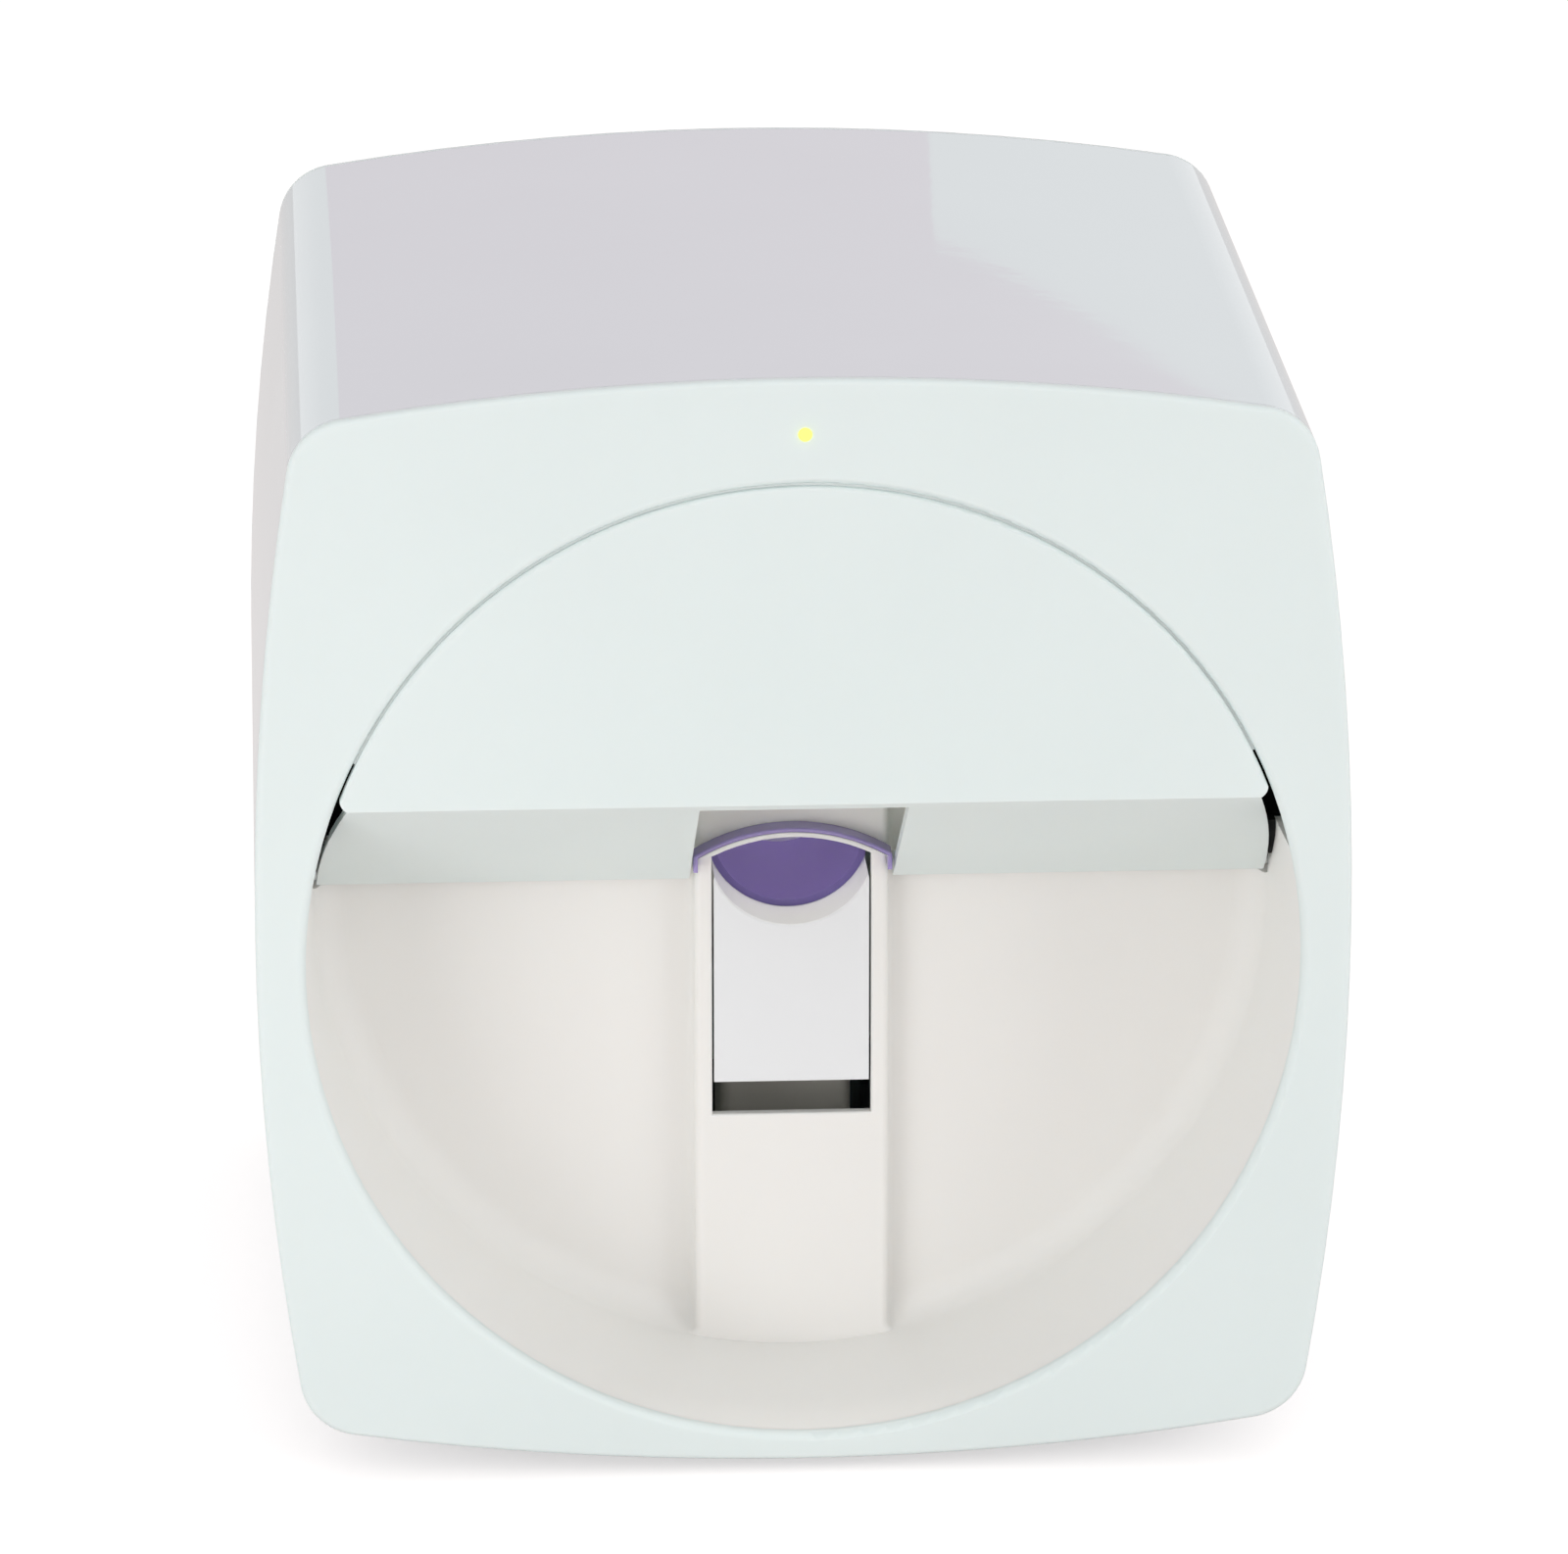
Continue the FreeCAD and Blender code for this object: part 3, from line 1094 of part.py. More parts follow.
def idler_pin():
    """Pin with a head that holds the idler on the right block."""
    shank = rod("idler_pin", ("rod_x", "stage_front", "belt_level"),
                "block_depth + 1.1 + belt_width + 1.2", ALONG_Y)
    head = rod("idler_pin + 1", ("rod_x", "belt_y + belt_width + 0.9", "belt_level"), "0.8",
               ALONG_Y)
    return fuse(shank, head)


def cross_belt():
    """Toothed belt loop round both pulleys."""
    body = new_body("cross_belt")
    loop = sketch(body, "XZ_Plane", "belt_y", "belt_level")
    for radius in ("pulley_radius + 0.05 + belt_thick", "pulley_radius + 0.05"):
        flat = f"{radius} + 0.0001"
        outline(loop, [("-1 * rod_x", f"-1 * ({radius})"), ("rod_x", f"-1 * ({radius})"),
                       ("rod_x", radius), ("-1 * rod_x", radius)], {1: flat, 3: flat})
    pad(body, loop, "belt_width")
    return body


# ---- carriage ----

def carriage():
    """Cradle for the cartridge, hung forward of the cross rods, with the belt clamp behind."""
    body = new_body("carriage")
    outer = sketch(body, "XY_Plane", "cradle_level")
    rectangle(outer, "-1 * (cradle_half)", "cradle_front", "cradle_half", "cradle_rear")
    pad(body, outer, "cradle_wall + cartridge_tall - 8")
    inner = sketch(body, "XY_Plane", "cradle_floor")
    rectangle(inner, "cradle_wall - (cradle_half)", "cradle_front + cradle_wall",
              "cradle_half - cradle_wall", "cradle_rear - cradle_wall")
    pocket(body, inner, "cartridge_tall")
    low = sketch(body, "XY_Plane", "latch_z + 5")
    rectangle(low, "-1 * (cradle_half)", "cradle_front", "cradle_half",
              "cradle_front + cradle_wall")
    pocket(body, low, "cartridge_tall")
    slopes = sketch(body, "YZ_Plane", "-1 * (cradle_half)")
    outline(slopes, [("cradle_front", "latch_z + 5"), ("cradle_front + 26", "cartridge_top"),
                     ("cradle_front", "cartridge_top")])
    pocket(body, slopes, "2 * (cradle_half)")
    for side in (-1, 1):
        window = sketch(body, "YZ_Plane", span(side, "cradle_half - cradle_wall", "cradle_half")[0])
        rectangle(window, "cradle_front + 10", "cradle_floor + 6", "cradle_rear - 10",
                  "cradle_floor + 18")
        pocket(body, window, "cradle_wall")
    port = sketch(body, "XY_Plane", "cradle_level")
    rectangle(port, "-12", "nozzle_y - 8", "12", "nozzle_y + 8")
    pocket(body, port, "cradle_wall")
    hub = sketch(body, "YZ_Plane", "3 - (cradle_half)")
    rectangle(hub, "cradle_rear - 0.5", "cradle_level + 1.5", "stage_home + bush_radius + 1.8",
              "cross_high + bush_radius + 1.5")
    pad(body, hub, "2 * (cradle_half) - 6")
    soften(body, "2.5", lambda edge: runs(edge, "X", 20)
           and edge.BoundBox.YMin > number("stage_home + bush_radius"))
    cross = sketch(body, "YZ_Plane", "3 - (cradle_half)")
    for level in ("cross_low", "cross_high"):
        circle(cross, "stage_home", level, "bush_radius")
    pocket(body, cross, "2 * (cradle_half) - 6")
    run_low = "belt_level - pulley_radius - belt_thick - 0.2"
    run_high = "belt_level - pulley_radius + 0.1"
    arm = sketch(body, "YZ_Plane", "-6")
    behind = "belt_y + belt_width + 0.3"
    outline(arm, [("stage_home", "cross_high + bush_radius"),
                  (f"{behind} + 1.8", "cross_high + bush_radius"),
                  (f"{behind} + 1.8", f"{run_high} + 2"), ("belt_y - 0.6", f"{run_high} + 2"),
                  ("belt_y - 0.6", run_high), (behind, run_high), (behind, run_low),
                  ("stage_home", run_low)])
    pad(body, arm, "12")
    for side in (-1, 1):
        start = span(side, "latch_width / 2 + 0.4", "latch_width / 2 + 2.6")[0]
        ear = sketch(body, "YZ_Plane", start)
        outline(ear, [("cradle_front + 0.5", "latch_z - 4"), ("cradle_front + 0.5", "latch_z + 4"),
                      ("latch_y", "latch_z + 3"), ("latch_y", "latch_z - 3")], {2: "3.0001"})
        pad(body, ear, "2.2")
        eye = sketch(body, "YZ_Plane", start)
        circle(eye, "latch_y", "latch_z", "1.2")
        pocket(body, eye, "2.2")
    return body


def cross_bushes():
    """Four bushes in the carriage, one at each end of both rods."""
    half = "cradle_half - 3"
    return group(*(bush("cross_radius", (base, "stage_home", level), "8", ALONG_X)
                   for level in ("cross_low", "cross_high")
                   for base in (f"-1 * ({half})", f"{half} - 8")))


def ink_cartridge():
    """Cartridge body with its lid, grip step and the snout that carries the nozzles."""
    body = new_body("ink_cartridge")
    side = sketch(body, "YZ_Plane", "-1 * cartridge_width / 2")
    outline(side, [("cartridge_front + 1.5", "cartridge_bottom"),
                   ("cartridge_rear", "cartridge_bottom"),
                   ("cartridge_rear", "cartridge_top - 4"),
                   ("cartridge_rear - 4", "cartridge_top - 4"),
                   ("cartridge_rear - 4", "cartridge_top"), ("cartridge_front + 6", "cartridge_top"),
                   ("cartridge_front + 6", "cartridge_top - 3"),
                   ("cartridge_front", "cartridge_top - 3")])
    pad(body, side, "cartridge_width")
    soften(body, "2", lambda edge: runs(edge, "Z", 20))
    snout = sketch(body, "XY_Plane", "nozzle_level + 0.8")
    rectangle(snout, "-10", "nozzle_y - 6", "10", "nozzle_y + 6")
    pad(body, snout, "cartridge_bottom + 1 - (nozzle_level + 0.8)")
    lid = sketch(body, "XY_Plane", "cartridge_top - 0.8")
    rectangle(lid, "-1 * cartridge_width / 2 + 4", "cartridge_front + 9",
              "cartridge_width / 2 - 4", "cartridge_rear - 8")
    pocket(body, lid, "0.8")
    return body


def nozzle_plate():
    """Metal plate with the nozzles on the snout."""
    return block(("-9", "nozzle_y - 5", "nozzle_level"),
                 ("9", "nozzle_y + 5", "nozzle_level + 0.8"))


def cartridge_contacts():
    """Gilt contact pads between the cartridge and the cradle's rear wall."""
    return block(("-14", "cartridge_rear", "cradle_floor + 8"),
                 ("14", "cradle_rear - cradle_wall", "cradle_floor + 28"))


def latch_pin():
    """Pin in the cradle's ears."""
    return rod("1.2", ("-1 * (latch_width / 2 + 2.6)", "latch_y", "latch_z"),
               "latch_width + 5.2", ALONG_X)


def cartridge_latch():
    """Lever that swings up against the cartridge and hooks over its front step."""
    body = new_body("cartridge_latch")
    lever = sketch(body, "YZ_Plane", "-1 * latch_width / 2")
    inner, outer = "latch_y + 0.9", "latch_y + 0.9 - latch_thick"
    hook = "cartridge_top - 3 + 0.4"
    outline(lever, [(outer, "latch_z"), (inner, "latch_z"), (inner, hook),
                    ("cartridge_front + 5", hook), ("cartridge_front + 5", f"{hook} + 1.2"),
                    (inner, f"{hook} + 2.6"), (f"{outer} - 3", f"{hook} + 4"),
                    (f"{outer} - 3.6", f"{hook} + 2.6"), (outer, f"{hook} - 1")])
    pad(body, lever, "latch_width")
    barrel = sketch(body, "YZ_Plane", "-1 * latch_width / 2")
    circle(barrel, "latch_y", "latch_z", "2.4")
    pad(body, barrel, "latch_width")
    window = sketch(body, "XZ_Plane", f"{outer} - 1")
    rectangle(window, "5 - latch_width / 2", "latch_z + 8", "latch_width / 2 - 5",
              "cartridge_top - 14")
    pocket(body, window, "latch_thick + 2")
    bore = sketch(body, "YZ_Plane", "-1 * latch_width / 2")
    circle(bore, "latch_y", "latch_z", "1.2 + rod_fit")
    pocket(body, bore, "latch_width")
    return body


# ---- finger tray ----

HORN = "trough_rise - sqrt(trough_radius * trough_radius - tray_half * tray_half)"


def finger_tray():
    """White lift tray: apron seen in the slot, trough for the thumb, end stop and square stem."""
    body = new_body("finger_tray")
    apron = sketch(body, "XZ_Plane", "tray_front")
    outline(apron, [("-1 * (tray_half)", "apron_bottom"), ("tray_half", "apron_bottom"),
                    ("tray_half", HORN), ("-1 * (tray_half)", HORN)], {2: "-1 * trough_radius"})
    pad(body, apron, "apron_thick")
    deck = "trough_rise - trough_radius - 9"
    trough = sketch(body, "XZ_Plane", "tray_front + apron_thick - 0.5")
    outline(trough, [("-1 * (tray_half)", deck), ("tray_half", deck),
                     ("tray_half", HORN), ("-1 * (tray_half)", HORN)], {2: "-1 * trough_radius"})
    pad(body, trough, "tray_depth - apron_thick + 0.5")
    stop = sketch(body, "XZ_Plane", "tray_rear - 2")
    outline(stop, [("-1 * (tray_half)", f"{deck} + 1"), ("tray_half", f"{deck} + 1"),
                   ("tray_half", "pad_top - 3"), ("-1 * (tray_half)", "pad_top - 3")])
    pad(body, stop, "2")
    soften(body, "3", lambda edge: runs(edge, "Y", 1)
           and abs(edge.BoundBox.ZMin - number("pad_top - 3")) < 0.05)
    hollow = sketch(body, "XY_Plane", deck)
    rectangle(hollow, "2.4 - tray_half", "tray_front + apron_thick + 2", "tray_half - 2.4",
              "stem_front - 2")
    pocket(body, hollow, "6")
    stem = sketch(body, "XY_Plane", "stem_bottom")
    rectangle(stem, "-1 * stem_width / 2", "stem_front", "stem_width / 2", "stem_rear")
    pad(body, stem, f"{deck} + 0.5 - stem_bottom")
    soften(body, "1.5", lambda edge: runs(edge, "Z", 15)
           and edge.BoundBox.ZMin < number("stem_bottom") + 1)
    soften(body, "0.5", lambda edge: lies(edge, "Y", number("tray_front"))
           and circular(edge, number("trough_radius")))
    return body


def finger_pad():
    """Violet silicone lining of the trough where the tip of the thumb lies."""
    body = new_body("finger_pad")
    wall = "tray_half - pad_wall"
    small = "(trough_radius - pad_wall)"
    low = f"trough_rise - sqrt({small} * {small} - ({wall}) * ({wall}))"
    lining = sketch(body, "XZ_Plane", "pad_front")
    outline(lining, [("-1 * (tray_half)", HORN), ("tray_half", HORN), ("tray_half", "pad_top"),
                     (wall, "pad_top"), (wall, low), (f"-1 * ({wall})", low),
                     (f"-1 * ({wall})", "pad_top"), ("-1 * (tray_half)", "pad_top")],
            {0: "trough_radius", 4: f"-1 * {small}"})
    pad(body, lining, "tray_rear - 2 - (pad_front)")
    return body


def tray_guide():
    """Square well that keeps the stem upright, with its foot on the chassis."""
    body = new_body("tray_guide")
    outer = "stem_width / 2 + tray_fit + guide_wall"
    foot = sketch(body, "XY_Plane", "chassis_top")
    rectangle(foot, f"-1 * ({outer}) - 6", "stem_front - 4", f"{outer} + 6", "stem_rear + 4")
    pad(body, foot, "3")
    soften(body, "3", lambda edge: runs(edge, "Z", 2))
    well = sketch(body, "XY_Plane", "spring_seat - 0.5")
    rectangle(well, f"-1 * ({outer})", "stem_front - tray_fit - guide_wall", outer,
              "stem_rear + tray_fit + guide_wall")
    pad(body, well, "guide_top - (spring_seat) + 0.5")
    soften(body, "2", lambda edge: runs(edge, "Z", 20))
    bore = sketch(body, "XY_Plane", "spring_seat")
    rectangle(bore, "-1 * (stem_width / 2 + tray_fit)", "stem_front - tray_fit",
              "stem_width / 2 + tray_fit", "stem_rear + tray_fit")
    pocket(body, bore, "guide_top - (spring_seat)")
    return body


def tray_spring():
    """Compression spring between the well's floor and the stem."""
    coil = doc.addObject("Part::Helix", "coil_path")
    bind(coil, Pitch="coil_pitch", Radius="coil_radius",
         Height="stem_bottom - (spring_seat) - 2 * wire_radius")
    wire = doc.addObject("Part::RegularPolygon", "wire_section")
    wire.Polygon = 8
    bind(wire, Circumradius="wire_radius")
    place(wire, "coil_radius", turn=ALONG_Y)
    made = doc.addObject("Part::Sweep", "tray_spring")
    made.Sections = [wire]
    made.Spine = (coil, [])
    made.Solid = True
    made.Frenet = True
    return place(made, "0", "(stem_front + stem_rear) / 2", "spring_seat + wire_radius")


# ---- power and control ----

def main_board():
    """Control board on the chassis standoffs."""
    return block((BOARD_LEFT[0], BOARD_FRONT[0], "board_level"),
                 (BOARD_RIGHT[0], BOARD_REAR[0], "board_level + board_thick"))


def board_parts():
    """Processor, driver chips, storage capacitors and connectors on the board."""
    top = "board_level + board_thick"
    chips = (("6", "board_front + 22", 14, 14, 1.6), ("26", "board_front + 20", 7, 7, 1.4),
             ("26", "board_front + 32", 7, 7, 1.4), ("4", "board_rear - 14", 10, 6, 5),
             ("20", "board_rear - 14", 14, 6, 5))
    made = [block((f"board_left + {x}", y, top),
                  (f"board_left + {x} + {wide}", f"{y} + {deep}", f"{top} + {tall}"))
            for x, y, wide, deep, tall in chips]
    for y in ("board_front + 48", "board_front + 58"):
        made.append(rod("4", ("board_left + 34", y, top), "11"))
    return group(*made)


def wireless_card():
    """Small radio card with its shield."""
    top = "board_level + board_thick"
    card = block(("board_left + 4", "board_front + 44", top),
                 ("board_left + 22", "board_front + 68", f"{top} + 1"))
    shield = block(("board_left + 5", "board_front + 45", f"{top} + 1"),
                   ("board_left + 21", "board_front + 61", f"{top} + 3.4"))
    return fuse(card, shield)


CELLS = ("cell_outer_x - 2 * cell_radius - cell_gap", "cell_outer_x")


def battery_cells():
    """Two rechargeable cells side by side."""
    return group(*(rod("cell_radius", (x, "holder_front + 2", "chassis_top + cell_radius + 1.6"),
                       "cell_length", ALONG_Y) for x in CELLS))


def battery_holder():
    """Open box with two troughs for the cells."""
    body = new_body("battery_holder")
    tray = sketch(body, "XZ_Plane", "holder_front")
    axis = "chassis_top + cell_radius + 1.6"
    rectangle(tray, f"{CELLS[0]} - cell_radius - 1.2", "chassis_top",
              f"{CELLS[1]} + cell_radius + 1.2", f"{axis} + 1")
    pad(body, tray, "cell_length + 4")
    for x in CELLS:
        trough = sketch(body, "XZ_Plane", "holder_front + 2")
        circle(trough, x, axis, "cell_radius + 0.02")
        pocket(body, trough, "cell_length")
    return body


def dc_inlet():
    """Barrel inlet: a box behind the rear cover, a nose flush with it and the pin in the bore."""
    x, z = "-1 * inlet_x", "inlet_z"
    box = block((f"{x} - 5.5", "rear_inner - 12", f"{z} - 5.5"),
                (f"{x} + 5.5", "rear_inner", f"{z} + 5.5"))
    nose = rod("inlet_bore + 1.3", (x, "rear_inner", z), "rear_thick - 0.6", ALONG_Y)
    bore = rod("inlet_bore", (x, "rear_inner - 8", z), "12", ALONG_Y)
    pin = rod("inlet_pin", (x, "rear_inner - 8.5", z), "9.4", ALONG_Y)
    return fuse(cut(fuse(box, nose), bore), pin)


def power_button():
    """Round button cap with the flange that stops it and the stem that works the switch."""
    body = new_body("power_button")
    half = sketch(body, "YZ_Plane", "button_x", "button_z")
    stop, crown = "rear_inner - 0.2", "rear - 0.5"
    tip = "switch_front + button_travel + 0.3"
    outline(half, [(tip, "0"), (f"{crown} - 0.5", "0"), (crown, "button_radius - 1.2"),
                   (f"{crown} - 0.8", "button_radius"), (stop, "button_radius"),
                   (stop, "button_radius + 1.3"), (f"{stop} - 1.4", "button_radius + 1.3"),
                   (f"{stop} - 1.4", "2"), (tip, "2")])
    revolve(body, half, "H_Axis")
    return body


def power_switch():
    """Switch on its small board, behind the button."""
    board = block(("button_x - 15", "switch_back - 1.6", "button_z - 7"),
                  ("button_x + 15", "switch_back", "button_z + 7"))
    case = block(("button_x - 5", "switch_back", "button_z - 5"),
                 ("button_x + 5", "switch_front", "button_z + 5"))
    return fuse(board, case)


# ---- the whole machine ----

fill_sheet()

NODES = {
    "outer_shell": outer_shell(),
    "front_bezel": front_bezel(),
    "hand_bowl": hand_bowl(),
    "finger_hood": finger_hood(),
    "indicator_lens": indicator_lens(),
    "indicator_board": indicator_board(),
    "rear_cover": rear_cover(),
    "rubber_feet": rubber_feet(),
    "catch_magnets": magnets("catch_y", 1),
    "front_cover": front_cover(),
    "hinge_pins": hinge_pins(),
    "cover_magnets": magnets("catch_y - 0.3", -1),
    "base_chassis": base_chassis(),
    "frame_left": side_frame("frame_left", -1),
    "frame_right": side_frame("frame_right", 1),
    "guide_rod_left": guide_rod(-1),
    "guide_rod_right": guide_rod(1),
    "y_motor": y_motor(),
    "screw_bearing": screw_bearing(),
    "lead_screw": lead_screw(),
    "camera_bracket": camera_bracket(),
    "camera_module": camera_module(),
    "camera_lens": camera_lens(),
    "ring_light": ring_light(),
    "stage_block_left": stage_block("stage_block_left", -1),
    "stage_block_right": stage_block("stage_block_right", 1),
    "rod_bushes": rod_bushes(),
    "cross_rod_lower": cross_rod("cross_low"),
    "cross_rod_upper": cross_rod("cross_high"),
    "lead_nut": lead_nut(),
    "x_motor": x_motor(),
    "drive_pulley": pulley("drive_pulley", -1, "stage_front - 5.5", "1.5", False),
    "idler_pulley": pulley("idler_pulley", 1, "stage_back", "idler_pin", True),
    "idler_pin": idler_pin(),
    "cross_belt": cross_belt(),
    "carriage": carriage(),
    "cross_bushes": cross_bushes(),
    "ink_cartridge": ink_cartridge(),
    "nozzle_plate": nozzle_plate(),
    "cartridge_contacts": cartridge_contacts(),
    "latch_pin": latch_pin(),
    "cartridge_latch": cartridge_latch(),
    "finger_tray": finger_tray(),
    "finger_pad": finger_pad(),
    "tray_guide": tray_guide(),
    "tray_spring": tray_spring(),
    "main_board": main_board(),
    "board_parts": board_parts(),
    "wireless_card": wireless_card(),
    "battery_cells": battery_cells(),
    "battery_holder": battery_holder(),
    "dc_inlet": dc_inlet(),
    "power_button": power_button(),
    "power_switch": power_switch(),
    "rear_screws": screws(CORNER_SCREWS, "rear - 1.5", "8", ALONG_Y),
    "bowl_screws": screws(BOWL_SCREWS, "bezel_back + lip_depth + 2.4", "6", ALONG_Y),
    "chassis_screws": screws(four("post_x", "post_front", "post_rear"), "chassis_top", "5"),
    "frame_screws": screws(FRAME_SCREWS, "chassis_top + sheet_thick", "4"),
}
doc.recompute()

for item in doc.Objects:
    if {"Invalid", "Error"} & set(item.State):
        raise RuntimeError(f"{item.Name} failed: {item.State}")

os.makedirs("parts", exist_ok=True)
for name, node in NODES.items():
    node.Label = name
    shape = node.Shape
    if shape.isNull() or not shape.isValid() or not shape.Solids:
        raise RuntimeError(f"{name} has no sound solid")
    shape.exportStep(os.path.join("parts", f"{name}.step"))
    print(f"{name:20s} {len(shape.Solids)} solid(s), {shape.Volume / 1000:8.2f} cm3")
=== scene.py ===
# %% [markdown]
# # A desktop nail printer, dressed for its picture
# The engineering model arrives as a fixed frame: every solid is already in place, in metres, and
# knows which moving body it belongs to. This notebook gives it what a CAD solid lacks: fine surface
# grain, real plastics and metals, the small parts that repeat, light and a camera. Nothing here
# moves a part; a finer piece only stands in for a solid, in exactly the same place.

# %% Load the frame
import math
import bmesh
import bpy
from mathutils import Matrix, Vector


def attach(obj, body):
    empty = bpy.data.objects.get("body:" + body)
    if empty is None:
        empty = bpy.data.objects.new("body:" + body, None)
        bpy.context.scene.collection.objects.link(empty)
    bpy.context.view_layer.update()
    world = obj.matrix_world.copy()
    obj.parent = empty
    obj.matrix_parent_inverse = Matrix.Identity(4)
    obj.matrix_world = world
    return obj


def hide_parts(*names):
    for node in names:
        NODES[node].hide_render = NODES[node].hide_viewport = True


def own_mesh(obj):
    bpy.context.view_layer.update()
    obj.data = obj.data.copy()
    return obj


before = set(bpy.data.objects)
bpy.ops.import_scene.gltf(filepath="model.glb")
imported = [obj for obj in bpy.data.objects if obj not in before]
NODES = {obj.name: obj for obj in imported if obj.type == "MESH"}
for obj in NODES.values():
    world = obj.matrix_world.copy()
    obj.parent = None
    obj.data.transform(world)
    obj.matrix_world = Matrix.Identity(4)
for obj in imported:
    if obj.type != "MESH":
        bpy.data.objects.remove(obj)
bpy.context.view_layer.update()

# %% [markdown]
# ## Where the camera stands
# A small machine looks calm and true when it is seen from far away with a long lens, because the
# sides then hardly converge. The camera stands about 1.7 metres in front, a little to the
# left and well above, and looks down on the machine by seventeen degrees. The three columns of its
# turn are worked out from those angles, so there is no guesswork with rotations.

# %% Camera
AZIMUTH, ELEVATION, ROLL = (math.radians(a) for a in (-3.166, 16.938, -0.036))
DISTANCE = 1.6810                       # from the aim point to the lens, in metres
AIM = Vector((-0.003661, -0.095, 0.127551))
FOCAL_PIXELS, IMAGE_WIDE, SENSOR = 9970.3, 1600, 36.0

back = Vector((math.sin(AZIMUTH) * math.cos(ELEVATION),
               -math.cos(AZIMUTH) * math.cos(ELEVATION), math.sin(ELEVATION)))
level_right = Vector((math.cos(AZIMUTH), math.sin(AZIMUTH), 0))
level_up = back.cross(level_right)
right = level_right * math.cos(ROLL) + level_up * math.sin(ROLL)
up = level_up * math.cos(ROLL) - level_right * math.sin(ROLL)

lens = bpy.data.cameras.new("studio_camera")
lens.sensor_width = SENSOR
lens.lens = FOCAL_PIXELS / IMAGE_WIDE * SENSOR
camera = bpy.data.objects.new("studio_camera", lens)
turn = Matrix((right, up, back)).transposed().to_4x4()
camera.matrix_world = Matrix.Translation(AIM + back * DISTANCE) @ turn
bpy.context.scene.collection.objects.link(camera)
bpy.context.scene.camera = camera
print(f"lens {lens.lens:.1f} mm, camera at", [round(c, 3) for c in camera.matrix_world.translation])

# %% [markdown]
# ## One function for every node
# Materials and Geometry Nodes trees are both built from nodes. One small function adds a node and
# sets its own settings, and another fills its inputs: a plain value is written into the socket, and
# another node's output is linked to it. Colours are written as the hex values a designer would
# quote, and one function turns them into the linear numbers that the renderer works with.

# %% Node and colour helpers
def fill(tree, node, inputs):
    """Write plain values into a node's inputs, and link other nodes' outputs to them."""
    for socket, value in inputs.items():
        if isinstance(value, bpy.types.NodeSocket):
            tree.links.new(value, node.inputs[socket])
        else:
            node.inputs[socket].default_value = value


def add_node(tree, kind, inputs=None, **settings):
    """Add one node to a tree, with its settings and its inputs' values or links."""
    node = tree.nodes.new(kind)
    for name, value in settings.items():
        setattr(node, name, value)
    fill(tree, node, inputs or {})
    return node


def linear(colour):
    """A hex colour such as "#E4ECE9" as linear red, green, blue and alpha."""
    parts = [int(colour[i:i + 2], 16) / 255 for i in (1, 3, 5)]
    return [c / 12.92 if c <= 0.04045 else ((c + 0.055) / 1.055) ** 2.4 for c in parts] + [1.0]


def empty_tree(owner):
    """Clear the node tree of a material or a world, and return it."""
    owner.use_nodes = True
    owner.node_tree.nodes.clear()
    return owner.node_tree


def new_finish(name):
    """An empty material; returns it, its tree, its shader and the object coordinates."""
    made = bpy.data.materials.new(name)
    tree = empty_tree(made)
    shader = add_node(tree, "ShaderNodeBsdfPrincipled")
    add_node(tree, "ShaderNodeOutputMaterial", {"Surface": shader.outputs[0]})
    return made, tree, shader, add_node(tree, "ShaderNodeTexCoord").outputs["Object"]


print("white", [round(c, 3) for c in linear("#FFFFFF")])

# %% [markdown]
# ## What every surface does
# No real surface is the same all over. Its shade drifts a little, its gloss wanders, and a fine
# grain or scratch breaks up the light. Each of the three is one node that a noise drives, so they
# are three helpers that plastics and metals share.

# %% Drift, gloss and grain
def noise(tree, where, scale, detail, **more):
    """How high a noise stands at each place, from 0 to 1."""
    return add_node(tree, "ShaderNodeTexNoise", {
        "Vector": where, "Scale": scale, "Detail": detail, **more}).outputs["Fac"]


def drifting(tree, height, colour, share, reach):
    """A colour that gets darker and lighter by a share; reach is how sharply it turns."""
    tint = add_node(tree, "ShaderNodeValToRGB", {"Fac": height})
    for stop, way in zip(tint.color_ramp.elements, (-1, 1)):
        stop.position = 0.5 + way * reach
        stop.color = [min(1, c * (1 + way * share)) for c in linear(colour)[:3]] + [1]
    return tint.outputs["Color"]


def wandering(tree, height, middle, spread):
    """A number that wanders either side of its middle."""
    return add_node(tree, "ShaderNodeMapRange", {
        "Value": height, "To Min": middle - spread, "To Max": middle + spread}).outputs["Result"]


def embossed(tree, height, depth):
    """A surface that rises and falls by a depth in millimetres."""
    return add_node(tree, "ShaderNodeBump", {
        "Height": height, "Strength": 1.0, "Distance": depth / 1000}).outputs["Normal"]


print("surface helpers ready")

# %% [markdown]
# ## Moulded plastics
# Nearly everything that shows is injection-moulded ABS. What the eye reads as "plastic" is not the
# colour but how sharply it mirrors the room: the wrap-round shell comes from a polished tool and
# mirrors clearly, the front comes from a tool that was spark-eroded to a fine, even grain and only
# glows softly. Both also vary very slightly in shade, because resin flows and cools unevenly.
# One function makes the whole family, with the grain given in millimetres.

# %% Moulded plastic
FLOW_SCALE, FLOW_DRIFT, FLOW_REACH, GLOSS_SPREAD = 18.0, 0.012, 0.25, 0.02


